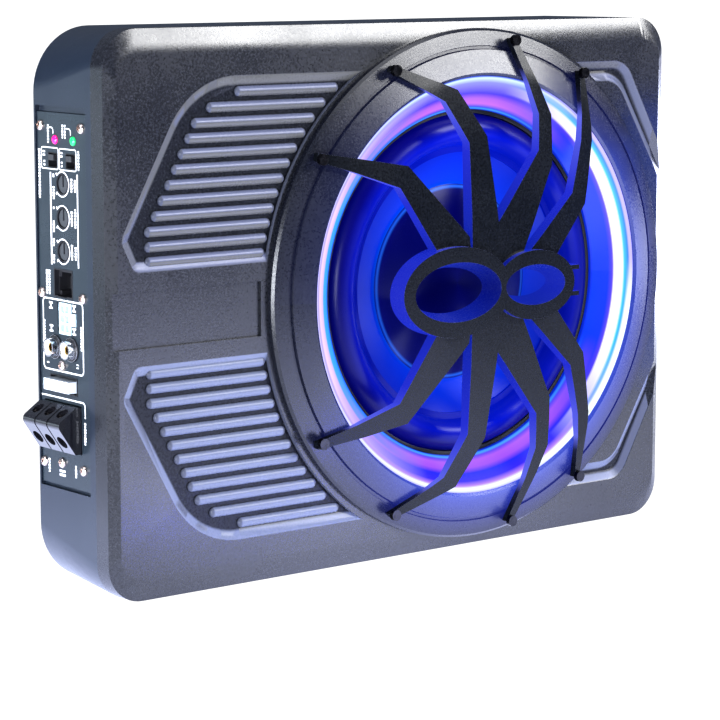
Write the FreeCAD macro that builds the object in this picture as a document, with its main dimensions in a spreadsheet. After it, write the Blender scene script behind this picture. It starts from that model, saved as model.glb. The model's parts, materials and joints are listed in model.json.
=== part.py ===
"""Powered car subwoofer: a slim case with one ten inch driver, its amplifier and its side control panel.

Frame: +X along the case's width, -Y out of the speaker face, +Z up.
The origin is under the middle of the whole object, on the surface that it stands on.
"""
import FreeCAD, Part
import math
import os
import re
import Sketcher
from FreeCAD import Placement, Rotation, Vector

doc = FreeCAD.newDocument("powered_subwoofer")
sheet = doc.addObject("Spreadsheet::Sheet", "Sizes")

# Driving sizes in millimetres.
SIZES = {
    # case
    "case_width": 346,
    "case_height": 260,
    "case_depth": 60,
    "case_x": 5.7,            # middle of the case; the terminal block reaches further out on the left
    "face_y": -20,           # flat front face of the cover
    "wall": 3,
    "cover_depth": 12.5,     # face to seam
    "bevel_depth": 3,
    "side_bevel": 5,
    "long_bevel": 11.5,
    "face_thickness": 4.5,
    "front_corner": 18,
    "back_corner": 30,
    "recess_depth": 2.6,
    "label_depth": 1.4,
    "groove_width": 10.6,
    "rib_pitch": 6.83,
    "rib_radius": 2.6,
    "first_slat": 25.4,      # above the case's middle line
    "boss_radius": 4.5,
    "boss_reach": 150,
    "boss_rise": 111,
    "insert_reach": 120,
    "insert_rise": 90,
    "insert_radius": 4,
    "insert_bore": 2.1,
    # speaker opening, all about the speaker's own axis
    "speaker_offset": 41,
    "speaker_z": 131,
    "cover_hole": 112,
    "bezel_radius": 125.8,
    "groove_radius": 116.5,
    "bezel_inner": 103.1,
    "bezel_rise": 9,         # bezel's inner edge above the face
    "clip_radius": 127.6,
    "rib_clip": 128.2,
    "ledge_radius": 101,
    "light_inner": 86,
    "surround_outer": 84,
    "surround_inner": 68,
    "cap_radius": 50,
    "coil_radius": 25,
    "magnet_radius": 55,
    "tip_radius": 121.2,
    "hub_front": -20,        # from the face
    "hub_back": -9.4,
    "guard_thickness": 5.6,
    # control panel
    "panel_low": 50,
    "panel_high": 221.6,
    "panel_front": -2.5,
    "panel_back": 38.5,
    "panel_sunk": 0.8,
    "panel_thickness": 1.6,
    "knob_y": 18.1,
    "knob_radius": 4.0,
    "knob_hole": 4.9,
    "shaft_radius": 1.5,
    "rca_radius": 4.25,
    "rca_reach": 4.3,
    "pole_pitch": 10.2,
    "pole_middle": 20.4,
    "wire_bore": 3.3,
    "block_reach": 13.3,
}
for row, (alias, number) in enumerate(SIZES.items(), start=1):
    sheet.set(f"A{row}", alias)
    sheet.set(f"B{row}", str(number))
    sheet.setAlias(f"B{row}", alias)
doc.recompute()

# Shared places, as formulas of the sheet.
SPEAKER_X = "(case_x + speaker_offset)"
BACK_Y = "(face_y + case_depth)"
SEAM_Y = "(face_y + cover_depth)"
PANEL_X = "(case_x - case_width / 2)"
PLATE_X = f"({PANEL_X} + panel_sunk)"
PLATE_BACK = f"({PLATE_X} + panel_thickness)"
MIDDLE_Z = "(case_height / 2)"

SUB_PARTS = []
AIM = {
    "X": Rotation(Vector(0, 1, 0), 90),
    "Y": Rotation(Vector(1, 0, 0), -90),
    "Z": Rotation(),
}


# ---------------------------------------------------------------- tools

def linked(text):
    """The formula with each sheet name pointing at the sheet."""
    return re.sub(r"[a-z_]+", lambda word: f"Sizes.{word.group()}" if word.group() in SIZES else word.group(),
                  str(text))


def measure(text):
    """The formula's value in millimetres."""
    return float(sheet.evalExpression(str(text)))


def bind(thing, prop, text):
    thing.setExpression(prop, linked(text))


def seat(thing, place):
    for letter, text in zip("xyz", place):
        bind(thing, f"Placement.Base.{letter}", text)


def block(name, low, high):
    """A box between two corners."""
    solid = doc.addObject("Part::Box", name)
    for prop, start, end in zip(("Length", "Width", "Height"), low, high):
        bind(solid, prop, f"({end}) - ({start})")
    seat(solid, low)
    return solid


def slab(name, middle, size):
    """A box about its middle."""
    low = [f"({place}) - ({length}) / 2" for place, length in zip(middle, size)]
    high = [f"({place}) + ({length}) / 2" for place, length in zip(middle, size)]
    return block(name, low, high)


def rod(name, start, radius, length, along):
    """A cylinder from the middle of one end, along +X, +Y or +Z."""
    solid = doc.addObject("Part::Cylinder", name)
    solid.Placement = Placement(Vector(), AIM[along])
    bind(solid, "Radius", radius)
    bind(solid, "Height", length)
    seat(solid, start)
    return solid


def ball(name, middle, radius):
    solid = doc.addObject("Part::Sphere", name)
    bind(solid, "Radius", radius)
    seat(solid, middle)
    return solid


def join(name, pieces):
    whole = doc.addObject("Part::MultiFuse", name)
    whole.Shapes = pieces
    return whole


def group(name, pieces):
    """Separate solids kept in one node."""
    whole = doc.addObject("Part::Compound", name)
    whole.Links = pieces
    return whole


def cut(name, base, tools):
    result = doc.addObject("Part::Cut", name)
    result.Base = base
    result.Tool = tools[0] if len(tools) == 1 else join(f"{name}_tools", tools)
    return result


def overlap(name, first, second):
    result = doc.addObject("Part::Common", name)
    result.Base = first
    result.Tool = second
    return result


def keep(solid, name):
    """Make an object one of the subwoofer's sub-parts."""
    solid.Label = name
    SUB_PARTS.append(solid)
    return solid


def body(name):
    return doc.addObject("PartDesign::Body", name)


def attach(sketch, owner, plane, offset="0"):
    planes = [part for part in owner.Origin.OriginFeatures if part.Role == plane]
    sketch.AttachmentSupport = (planes[0], [""])
    sketch.MapMode = "FlatFace"
    bind(sketch, "AttachmentOffset.Base.z", offset)


def pin_point(sketch, element, end, place):
    """Hold one sketch point at a pair of formulas."""
    for kind, axis, text in zip(("DistanceX", "DistanceY"), (-2, -1), place):
        value = measure(text)
        if abs(value) < 1e-9:
            sketch.addConstraint(Sketcher.Constraint("PointOnObject", element, end, axis))
            continue
        number = sketch.addConstraint(Sketcher.Constraint(kind, -1, 1, element, end, value))
        bind(sketch, f"Constraints[{number}]", text)


def corner_trim(before, here, after, radius):
    """Where a rounded corner leaves its two sides, and its arc."""
    away = (before - here).normalize()
    onward = (after - here).normalize()
    half = away.getAngle(onward) / 2
    reach = radius / math.tan(half)
    start = here + away * reach
    end = here + onward * reach
    inward = (away + onward).normalize()
    distance = (reach ** 2 + radius ** 2) ** 0.5
    centre = here + inward * distance
    return start, centre - inward * radius, end


def outline(owner, name, plane, corners, offset="0"):
    """A closed sketch through its corners; a third entry in a corner rounds it to that radius."""
    sketch = owner.newObject("Sketcher::SketchObject", name)
    attach(sketch, owner, plane, offset)
    spots = [Vector(measure(corner[0]), measure(corner[1]), 0) for corner in corners]
    count = len(corners)
    trims = []
    for index, corner in enumerate(corners):
        if len(corner) == 2:
            trims.append((spots[index], None, spots[index]))
            continue
        before = spots[index - 1]
        after = spots[(index + 1) % count]
        trims.append(corner_trim(before, spots[index], after, measure(corner[2])))
    sides = []
    for index in range(count):
        start = trims[index][2]
        end = trims[(index + 1) % count][0]
        sides.append(sketch.addGeometry(Part.LineSegment(start, end)))
    for index, corner in enumerate(corners):
        incoming, outgoing = sides[index - 1], sides[index]
        if len(corner) == 2:
            sketch.addConstraint(Sketcher.Constraint("Coincident", incoming, 2, outgoing, 1))
            pin_point(sketch, outgoing, 1, corner)
            continue
        start, middle, end = trims[index]
        bend = sketch.addGeometry(Part.Arc(start, middle, end))
        arc_starts_here = sketch.getPoint(bend, 1).distanceToPoint(start) < 1e-6
        first, last = (1, 2) if arc_starts_here else (2, 1)
        sketch.addConstraint(Sketcher.Constraint("Tangent", incoming, 2, bend, first))
        sketch.addConstraint(Sketcher.Constraint("Tangent", bend, last, outgoing, 1))
        number = sketch.addConstraint(Sketcher.Constraint("Radius", bend, measure(corner[2])))
        bind(sketch, f"Constraints[{number}]", corner[2])
        tip = sketch.addGeometry(Part.Point(spots[index]), True)
        sketch.addConstraint(Sketcher.Constraint("PointOnObject", tip, 1, incoming))
        sketch.addConstraint(Sketcher.Constraint("PointOnObject", tip, 1, outgoing))
        pin_point(sketch, tip, 1, corner)
    return sketch


def rectangle(low, high, radius=None):
    corners = [(low[0], low[1]), (high[0], low[1]), (high[0], high[1]), (low[0], high[1])]
    return corners if radius is None else [corner + (radius,) for corner in corners]


def panel_rectangle(middle, width, height, radius):
    """A rounded rectangle about a middle, as corners."""
    across, up = middle
    low = (f"({across}) - ({width}) / 2", f"({up}) - ({height}) / 2")
    high = (f"({across}) + ({width}) / 2", f"({up}) + ({height}) / 2")
    return rectangle(low, high, radius)


def plate(name, corners, start_y, depth, taper=0):
    """An outline seen from the front, thickened from one depth towards the back."""
    owner = body(name)
    sketch = outline(owner, f"{name}_outline", "XZ_Plane", corners, f"-({start_y})")
    pad = owner.newObject("PartDesign::Pad", f"{name}_pad")
    pad.Profile = sketch
    pad.Reversed = True
    bind(pad, "Length", depth)
    pad.TaperAngle = taper
    return owner


def turned(name, profile, centre=(SPEAKER_X, MIDDLE_Z)):
    """A ring or disc turned about a line along Y; the profile is pairs of radius and depth."""
    owner = body(name)
    sketch = outline(owner, f"{name}_profile", "XY_Plane", profile)
    turn = owner.newObject("PartDesign::Revolution", f"{name}_turn")
    turn.Profile = sketch
    turn.ReferenceAxis = (sketch, ["V_Axis"])
    turn.Angle = 360
    seat(owner, (centre[0], "0", centre[1]))
    return owner


def driver_part(name, profile):
    """A piece turned about the speaker's axis, with depths counted from the cover's face."""
    shifted = [(corner[0], f"face_y + ({corner[1]})") + tuple(corner[2:]) for corner in profile]
    return turned(name, shifted, (SPEAKER_X, "speaker_z"))


def around(name, radius, count, start_y, hole, depth, first_degrees=0.0):
    """Rods along Y, evenly spaced on a circle about the speaker's axis."""
    rods = []
    for step in range(count):
        angle = f"({first_degrees + 360.0 * step / count} * 1 deg)"
        place = (f"{SPEAKER_X} + ({radius}) * cos{angle}", start_y, f"speaker_z + ({radius}) * sin{angle}")
        rods.append(rod(f"{name}_{step}", place, hole, depth, "Y"))
    return rods


# ---------------------------------------------------------------- case

def case_outline(inset_x="0", inset_z="0", radius="front_corner"):
    width = f"case_width - 2 * ({inset_x})"
    height = f"case_height - 2 * ({inset_z})"
    return panel_rectangle(("case_x", MIDDLE_Z), width, height, radius)


def lofted(owner, name, kind, near, near_y, far, far_y):
    first = outline(owner, f"{name}_near", "XZ_Plane", near, f"-({near_y})")
    second = outline(owner, f"{name}_far", "XZ_Plane", far, f"-({far_y})")
    loft = owner.newObject(f"PartDesign::{kind}Loft", name)
    loft.Profile = first
    loft.Sections = [second]
    loft.Ruled = True
    return loft


def case_points():
    """Where the six long case screws run."""
    return [(f"case_x + ({side}) * boss_reach", f"{MIDDLE_Z} + ({rise}) * boss_rise")
            for side in ("-1", "-0.4", "1") for rise in ("-1", "1")]


def insert_points():
    return [(f"case_x + ({side}) * insert_reach", f"{MIDDLE_Z} + ({rise}) * insert_rise")
            for side in ("-1", "1") for rise in ("-1", "1")]


def rear_shell():
    """Back half of the case, open at the seam, with its screw posts and the panel's window."""
    owner = body("rear_shell_walls")
    lofted(owner, "shell_outside", "Additive", case_outline(), SEAM_Y,
           case_outline(radius="back_corner"), BACK_Y)
    lofted(owner, "shell_inside", "Subtractive", case_outline("wall", "wall", "front_corner - wall"), SEAM_Y,
           case_outline("wall", "wall", "back_corner - wall"), f"{BACK_Y} - wall")
    posts = []
    holes = []
    for index, (across, up) in enumerate(case_points()):
        posts.append(rod(f"case_post_{index}", (across, SEAM_Y, up), "boss_radius",
                         "case_depth - cover_depth - 1", "Y"))
        holes.append(rod(f"case_post_hole_{index}", (across, f"{SEAM_Y} - 1", up), "2.1",
                         "case_depth", "Y"))
        holes.append(rod(f"case_post_sink_{index}", (across, f"{BACK_Y} - 6", up), "3.9", "10", "Y"))
    for index, (across, up) in enumerate(insert_points()):
        posts.append(rod(f"insert_post_{index}", (across, f"{BACK_Y} - 12", up), "insert_radius + 2.5", "11", "Y"))
        holes.append(rod(f"insert_seat_{index}", (across, f"{BACK_Y} - 10", up), "insert_radius", "12", "Y"))
    window = block("panel_window", (f"{PANEL_X} - 5", "panel_front + 3", "panel_low + 3"),
                   (f"{PANEL_X} + 20", "panel_back - 1.2", "panel_high - 3"))
    seat_pocket = block("panel_seat", (f"{PANEL_X} - 5", "panel_front - 0.4", "panel_low - 1.6"),
                        (f"{PANEL_X} + panel_sunk + panel_thickness", "panel_back + 0.4", "panel_high + 3"))
    for index, (depth, up) in enumerate(PLATE_SCREWS):
        holes.append(rod(f"plate_screw_hole_{index}", (f"{PANEL_X} - 1", depth, up), "1.1", "12", "X"))
    frame = block("panel_frame", (f"{PANEL_X} + 1", "panel_front - 3.2", "panel_low - 5"),
                  (f"{PANEL_X} + 5.5", f"{BACK_Y} - 1", "panel_high + 7"))
    solid = join("rear_shell_solid", [owner] + posts + [frame])
    keep(cut("rear_shell_cut", solid, [window, seat_pocket] + holes), "rear_shell")


def recess_corners():
    """The upper slatted recess, left of the speaker; the right side is trimmed by a circle."""
    return [("case_x - 20", f"{MIDDLE_Z} + 108.2"), ("case_x - 127", f"{MIDDLE_Z} + 108.2", "43"),
            ("case_x - 166.5", f"{MIDDLE_Z} + 36.3", "6"), ("case_x - 159.2", f"{MIDDLE_Z} + 21", "5"),
            ("case_x - 20", f"{MIDDLE_Z} + 21")]


def slat_reach(rise):
    """How far left of the case's middle a slat starts, this far above the middle line, in mm."""
    slanted = max(0.0, rise - 39.0) * 0.5465
    rounded = 0.08 * max(0.0, rise - 86.0) ** 2
    return 152.4 - slanted - rounded


def slats():
    """Twelve half-round slats with rounded ends, lying on the upper recess's floor."""
    bars = []
    axis_y = "face_y + recess_depth + 0.5"
    for step in range(SLAT_COUNT):
        rise = measure("first_slat") + step * measure("rib_pitch")
        up = f"{MIDDLE_Z} + {rise}"
        left = f"case_x - {slat_reach(rise)} + rib_radius"
        right = f"{SPEAKER_X} - sqrt((rib_clip + rib_radius)^2 - ({up} - speaker_z)^2)"
        bars.append(join(f"slat_{step}", [rod(f"slat_bar_{step}", (left, axis_y, up), "rib_radius",
                                              f"({right}) - ({left})", "X"),
                                          ball(f"slat_left_{step}", (left, axis_y, up), "rib_radius"),
                                          ball(f"slat_right_{step}", (right, axis_y, up), "rib_radius")]))
    field = plate("slat_field", [("case_x - 165", f"{MIDDLE_Z} + 20"), ("case_x - 165", f"{MIDDLE_Z} + 106"),
                                 ("case_x - 5", f"{MIDDLE_Z} + 106"), ("case_x - 5", f"{MIDDLE_Z} + 20")],
                  "face_y", "recess_depth + 0.2")
    return overlap("upper_slats", group("slat_bars", bars), field)


SLAT_COUNT = 12

# Lean of the walls of the recesses and of the side groove from straight in, in degrees.
RECESS_SLOPE = 65
GROOVE_OUTER_SLOPE = 60
GROOVE_INNER_SLOPE = 63


def side_groove_corners(inset):
    """Outline of the V-shaped groove right of the speaker, open at the case's right edge."""
    top = f"{MIDDLE_Z} + 108.5 - ({inset})"
    low = f"{MIDDLE_Z} - 108.5 + ({inset})"
    near = f"case_x + 144.5 - 0.6 * ({inset})"
    far = f"case_x + 184 - 0.5 * ({inset})"
    return [("case_x + 60", top), (near, top, "14"),
            (far, f"{MIDDLE_Z} + 38 - 0.7 * ({inset})"), (far, f"{MIDDLE_Z} - 38 + 0.7 * ({inset})"),
            (near, low, "14"), ("case_x + 60", low)]


def mirrored(name, source):
    """The same piece below the case's middle height."""
    other = doc.addObject("Part::Mirroring", name)
    other.Source = source
    other.Normal = Vector(0, 0, 1)
    other.Base = Vector(0, 0, measure(MIDDLE_Z))
    return other


def front_cover():
    """Front half of the case: bevelled edge, slatted recesses, label field and speaker hole."""
    owner = body("front_cover_blank")
    edge_y = "face_y + bevel_depth"
    lofted(owner, "cover_rim", "Additive", case_outline(), SEAM_Y, case_outline(), edge_y)
    lofted(owner, "cover_bevel", "Additive", case_outline(), edge_y,
           case_outline("side_bevel", "long_bevel", "12"), "face_y")
    lofted(owner, "cover_inside", "Subtractive", case_outline("wall", "wall", "front_corner - wall"), SEAM_Y,
           case_outline("wall", "wall", "front_corner - wall"), "face_y + face_thickness")
    inside_cut = rod("recess_clip", (SPEAKER_X, "face_y - 5", "speaker_z"), "clip_radius", "20", "Y")
    slatted = cut("slatted_recess", plate("slatted_recess_blank", recess_corners(), "face_y",
                                          "recess_depth", -RECESS_SLOPE), [inside_cut])
    lower = mirrored("slatted_recess_lower", slatted)
    groove = plate("side_groove_blank", side_groove_corners("0"), "face_y", "recess_depth",
                   -GROOVE_OUTER_SLOPE)
    island = plate("side_island", side_groove_corners("groove_width"), "face_y - 0.1", "recess_depth + 0.9",
                   GROOVE_INNER_SLOPE)
    beside = cut("side_groove", groove,
                 [island, rod("side_clip", (SPEAKER_X, "face_y - 5", "speaker_z"), "clip_radius", "20", "Y")])
    label = block("label_field", (f"{PANEL_X} - 2", "face_y - 2", f"{MIDDLE_Z} - 13.2"),
                  (f"{PANEL_X} + 84.3", "face_y + label_depth", f"{MIDDLE_Z} + 12.6"))
    hole = rod("speaker_hole", (SPEAKER_X, "face_y - 5", "speaker_z"), "cover_hole", "20", "Y")
    hollowed = cut("cover_cut", owner, [slatted, lower, beside, label, hole])
    ribs = slats()
    lower_ribs = mirrored("lower_slats", ribs)
    bosses = []
    screw_holes = []
    for index, (across, up) in enumerate(case_points()):
        bosses.append(rod(f"cover_boss_{index}", (across, "face_y + face_thickness - 0.6", up), "boss_radius",
                          "cover_depth - face_thickness + 0.6", "Y"))
        screw_holes.append(rod(f"cover_boss_hole_{index}", (across, "face_y + 5.2", up), "1.9", "12", "Y"))
    whole = join("cover_solid", [hollowed, ribs, lower_ribs] + bosses)
    keep(cut("cover_drilled", whole, screw_holes), "front_cover")


def cover_seal():
    """Foam cord in the seam's inner step."""
    outer = case_outline("wall + 0.4", "wall + 0.4", "front_corner - wall + 1")
    inner = case_outline("wall + 2.2", "wall + 2.2", "front_corner - wall - 1")
    ring = plate("seal_blank", outer, f"{SEAM_Y} - 1.4", "2.6")
    hole = plate("seal_hole", inner, f"{SEAM_Y} - 3", "6")
    keep(cut("seal_ring", ring, [hole]), "cover_seal")


def case_screws():
    screws = []
    for index, (across, up) in enumerate(case_points()):
        shank = rod(f"case_shank_{index}", (across, "face_y + 6", up), "1.9", "case_depth - 11", "Y")
        head = rod(f"case_head_{index}", (across, f"{BACK_Y} - 6", up), "3.5", "3", "Y")
        drive = slab(f"case_drive_{index}", (across, f"{BACK_Y} - 3", up), ("4", "2.4", "1"))
        cross = slab(f"case_cross_{index}", (across, f"{BACK_Y} - 3", up), ("1", "2.4", "4"))
        screws.append(cut(f"case_screw_{index}", join(f"case_screw_blank_{index}", [shank, head]), [drive, cross]))
    keep(group("case_screw_set", screws), "case_screws")


def mounting_inserts():
    """Brass threaded inserts in the back wall, for a bracket or strap."""
    inserts = []
    for index, (across, up) in enumerate(insert_points()):
        sleeve = rod(f"insert_sleeve_{index}", (across, f"{BACK_Y} - 10", up), "insert_radius", "10", "Y")
        bore = rod(f"insert_bore_{index}", (across, f"{BACK_Y} - 11", up), "insert_bore", "12", "Y")
        inserts.append(cut(f"insert_{index}", sleeve, [bore]))
    keep(group("insert_set", inserts), "mounting_inserts")


# ---------------------------------------------------------------- speaker front

def bezel_ring():
    """Trim ring around the driver, with a fine groove and a skirt that carries the driver."""
    ring = driver_part("bezel_turned", [
        ("bezel_radius", "0"), ("bezel_radius", "-2.4"), ("bezel_radius - 1.2", "-3.6"),
        ("groove_radius + 1", "-5.0"), ("groove_radius + 0.6", "-4.2"), ("groove_radius - 0.6", "-4.4"),
        ("groove_radius - 1", "-6.0"), ("bezel_inner + 1.3", "-bezel_rise"), ("bezel_inner", "-bezel_rise + 0.9"),
        ("bezel_inner", "-6.8"), ("bezel_inner + 2.4", "-5.5"), ("cover_hole - 3.5", "-2"),
        ("cover_hole - 3.5", "12"), ("ledge_radius", "12"), ("ledge_radius", "15"),
        ("cover_hole - 0.4", "15"), ("cover_hole - 0.4", "0")])
    pilots = [rod(f"guard_pilot_{index}", (f"{SPEAKER_X} + tip_radius * cos({angle} deg)", "face_y - 7",
                                           f"speaker_z + tip_radius * sin({angle} deg)"), "0.9", "6.4", "Y")
              for index, angle in enumerate(TIP_ANGLES)]
    ledge_holes = around("driver_pilot", "104.2", 8, "face_y + 11", "1.5", "5", 22.5)
    keep(cut("bezel_drilled", ring, pilots + ledge_holes), "bezel_ring")


def led_diffuser():
    """Sloped translucent ring that the light comes through."""
    keep(driver_part("diffuser_turned", [
        ("bezel_inner - 0.2", "-7.6"), ("light_inner", "6"), ("light_inner", "7.4"), ("light_inner + 1.8", "7.4"),
        ("bezel_inner - 0.2", "-5.2")]), "led_diffuser")


def led_board():
    keep(driver_part("led_board_turned", [
        ("91", "7.9"), ("101", "7.9"), ("101", "9.5"), ("91", "9.5")]), "led_board")


def led_chips():
    chips = []
    for step in range(24):
        angle = f"({15.0 * step} * 1 deg)"
        place = (f"{SPEAKER_X} + 96 * cos{angle}", "face_y + 7.1", f"speaker_z + 96 * sin{angle}")
        chips.append(slab(f"led_chip_{step}", place, ("5", "1.6", "5")))
    keep(group("led_chip_set", chips), "led_chips")


# Angles of the guard's tips above the speaker's middle line, in degrees.
UPPER_TIPS = (146.4, 118.0, 81.2, 57.8)
TIP_ANGLES = UPPER_TIPS + tuple(-angle for angle in UPPER_TIPS)

# Upper arms of the guard: corners from the tip along one edge to the hub and back along the other,
# right of and above the speaker's middle.
ARM_CORNERS = (
    ((-101.6, 70.0), (-53.0, 62.0), (-16.0, 26.0), (-14.0, 8.0), (-28.0, 8.0), (-58.0, 51.8), (-102.6, 66.4)),
    ((-56.0, 109.2), (-20.9, 97.0), (-3.7, 74.1), (2.5, 33.5), (6.0, 8.0), (-14.0, 8.0), (-15.1, 71.3),
     (-28.9, 91.5), (-58.9, 106.6)),
    ((20.6, 121.0), (39.6, 82.8), (39.0, 58.4), (16.0, 10.0), (0.0, 10.0), (2.5, 32.0), (30.1, 65.8),
     (31.0, 83.6), (16.9, 119.8)),
    ((66.6, 103.5), (67.9, 69.2), (61.8, 37.6), (37.0, 8.0), (14.0, 8.0), (52.8, 43.4), (60.0, 69.4),
     (63.2, 103.0)),
)


def ellipse_rod(name, middle, half_width, half_height, start_y, depth, taper=0):
    curve = doc.addObject("Part::Ellipse", f"{name}_curve")
    curve.Placement = Placement(Vector(), Rotation(Vector(1, 0, 0), 90))
    bind(curve, "MajorRadius", half_width)
    bind(curve, "MinorRadius", half_height)
    seat(curve, (f"{SPEAKER_X} + ({middle})", start_y, "speaker_z"))
    solid = doc.addObject("Part::Extrusion", name)
    solid.Base = curve
    solid.DirMode = "Custom"
    solid.Dir = Vector(0, 1, 0)
    bind(solid, "LengthFwd", depth)
    solid.Solid = True
    solid.TaperAngle = taper
    return solid


def guard():
    """Eight bent arms about a hub of two joined rings; tips rest on the bezel."""
    arms = []
    for index, corners in enumerate(ARM_CORNERS):
        rounds = [(f"{SPEAKER_X} + {across}", f"speaker_z + {up}") for across, up in corners]
        arms.append(plate(f"arm_{index}", rounds, "face_y - 26", "30"))
    upper = join("upper_arms", arms)
    lower = doc.addObject("Part::Mirroring", "lower_arms")
    lower.Source = upper
    lower.Normal = Vector(0, 0, 1)
    lower.Base = Vector(0, 0, measure("speaker_z"))
    dome = driver_part("guard_dome", [
        ("0", "-17"), ("40", "-16.6"), ("80", "-14.6"), ("102", "-12.6"), ("118", "-9"), ("125", "-7.2"),
        ("125", "-3.9"), ("groove_radius - 0.9", "-6.1"), ("bezel_inner + 1.3", "-bezel_rise - 0.1"),
        ("0", "-bezel_rise - 1.6")])
    domed = overlap("domed_arms", join("all_arms", [upper, lower]), dome)
    start = "face_y + hub_front"
    depth = "hub_back - hub_front"
    rings = [ellipse_rod("large_ring", "-26", "34", "22", start, depth),
             ellipse_rod("small_ring", "24.5", "26", "17.2", start, depth)]
    prongs = [slab(f"prong_{index}", (f"{SPEAKER_X} + 51.5", "face_y - 15", f"speaker_z + ({side}) * 6.6"),
                   ("7", "7", "2.2")) for index, side in enumerate(("-1", "1"))]
    holes = [ellipse_rod("large_hole", "-25.5", "27.3", "14.5", f"{start} - 0.01", f"{depth} + 1", -18),
             ellipse_rod("small_hole", "24.5", "19.6", "10", f"{start} - 0.01", f"{depth} + 1", -18)]
    screw_holes = [rod(f"tip_hole_{index}", (f"{SPEAKER_X} + tip_radius * cos({angle} deg)", "face_y - 16",
                                             f"speaker_z + tip_radius * sin({angle} deg)"), "0.95", "16", "Y")
                   for index, angle in enumerate(TIP_ANGLES)]
    keep(cut("guard_cut", join("guard_solid", [domed] + rings + prongs), holes + screw_holes), "guard")


def guard_screws():
    screws = []
    for index, angle in enumerate(TIP_ANGLES):
        across = f"{SPEAKER_X} + tip_radius * cos({angle} deg)"
        up = f"speaker_z + tip_radius * sin({angle} deg)"
        shank = rod(f"tip_shank_{index}", (across, "face_y - 9.3", up), "0.9", "8.3", "Y")
        head = rod(f"tip_head_{index}", (across, "face_y - 11.3", up), "2.7", "2.2", "Y")
        screws.append(join(f"tip_screw_{index}", [shank, head]))
    keep(group("tip_screw_set", screws), "guard_screws")


# ---------------------------------------------------------------- driver

def basket():
    """Pressed frame from the mounting flange back to the motor, with six windows."""
    frame = driver_part("basket_turned", [
        ("107.6", "9.5"), ("107.6", "12"), ("86", "12"), ("60", "36"), ("60", "38"), ("28", "38"), ("28", "36"),
        ("56", "36"), ("81.6", "12.2"), ("81.6", "10.8"), ("84.4", "10.8"), ("84.4", "9.5")])
    windows = []
    for step in range(6):
        angle = f"({60.0 * step + 30.0} * 1 deg)"
        place = (f"{SPEAKER_X} + 72 * cos{angle}", "face_y + 14", f"speaker_z + 72 * sin{angle}")
        windows.append(rod(f"basket_window_{step}", place, "13", "20", "Y"))
    holes = around("flange_hole", "104.2", 8, "face_y + 9", "1.6", "4", 22.5)
    keep(cut("basket_cut", frame, windows + holes), "speaker_basket")


def gasket():
    keep(driver_part("gasket_turned", [("84.2", "7.5"), ("90", "7.5"), ("90", "9.5"), ("84.2", "9.5")]),
         "speaker_gasket")


def driver_screws():
    heads = around("driver_head", "104.2", 8, "face_y + 7.9", "2.6", "1.6", 22.5)
    shanks = around("driver_shank", "104.2", 8, "face_y + 9.4", "1.5", "5.4", 22.5)
    keep(group("driver_screw_set", [join(f"driver_screw_{step}", list(pair))
                                    for step, pair in enumerate(zip(heads, shanks))]), "speaker_screws")


def half_torus(name, radius, tube, middle_y):
    """Front half of a ring's round section."""
    solid = doc.addObject("Part::Torus", name)
    solid.Placement = Placement(Vector(), Rotation(Vector(1, 0, 0), -90))
    bind(solid, "Radius1", radius)
    bind(solid, "Radius2", tube)
    solid.Angle1 = 0
    solid.Angle2 = 180
    seat(solid, (SPEAKER_X, middle_y, "speaker_z"))
    return solid


def surround():
    """Rubber half roll between the basket and the cone."""
    middle = "(surround_outer + surround_inner) / 2"
    reach = "(surround_outer - surround_inner) / 2"
    roll = cut("surround_roll", half_torus("roll_outside", middle, reach, "face_y + 10.7"),
               [half_torus("roll_inside", middle, f"{reach} - 1.1", "face_y + 10.7")])
    outer_lip = driver_part("surround_outer_lip", [
        ("surround_outer - 1.1", "10.7"), ("surround_outer - 0.3", "10.7"), ("surround_outer - 0.3", "9.4"),
        ("surround_outer - 1.1", "9.4")])
    inner_lip = driver_part("surround_inner_lip", [
        ("surround_inner - 3", "10.7"), ("surround_inner + 1.1", "10.7"), ("surround_inner + 1.1", "9.4"),
        ("surround_inner - 3", "9.4")])
    keep(join("surround_solid", [roll, outer_lip, inner_lip]), "surround")


def cone():
    keep(driver_part("cone_turned", [
        ("surround_inner + 0.9", "10.8"), ("surround_inner - 2", "10.8"), ("cap_radius", "17.2"),
        ("coil_radius + 0.9", "29"), ("coil_radius + 0.9", "30.4"), ("cap_radius + 1", "18.6"),
        ("surround_inner - 1.5", "12"), ("surround_inner + 0.9", "12")]), "cone")


def dust_cap():
    """Shallow dome over the middle of the cone."""
    rise = 6
    radius = f"((cap_radius ^ 2 + {rise ** 2}) / {2 * rise})"
    dome = doc.addObject("Part::Sphere", "cap_outside")
    hollow = doc.addObject("Part::Sphere", "cap_inside")
    for ball, size in ((dome, radius), (hollow, f"{radius} - 0.9")):
        bind(ball, "Radius", size)
        seat(ball, (SPEAKER_X, f"face_y + 17 - {rise} + {radius}", "speaker_z"))
    front = rod("cap_front", (SPEAKER_X, "face_y + 5", "speaker_z"), "cap_radius", "11.7", "Y")
    shell = cut("cap_shell", dome, [hollow])
    keep(overlap("cap_solid", shell, front), "dust_cap")


def voice_coil():
    keep(driver_part("coil_turned", [
        ("coil_radius", "27"), ("coil_radius + 0.7", "27"), ("coil_radius + 0.7", "37"),
        ("coil_radius + 1.2", "37.4"), ("coil_radius + 1.2", "46.4"), ("coil_radius", "46.4")]), "voice_coil")


def spider():
    """Corrugated cloth that centres the coil."""
    profile = [("coil_radius + 0.9", "32.4")]
    waves = [(29, "31.2"), (33, "33.6"), (37, "31.2"), (41, "33.6"), (45, "31.2")]
    profile += [(str(radius), depth) for radius, depth in waves]
    profile += [("52", "35.1"), ("55.5", "35.1"), ("55.5", "35.9"), ("51.6", "35.9")]
    profile += [(str(radius), f"{depth} + 0.8") for radius, depth in reversed(waves)]
    profile += [("coil_radius + 0.9", "33.2")]
    keep(driver_part("spider_turned", profile), "spider")


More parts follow.
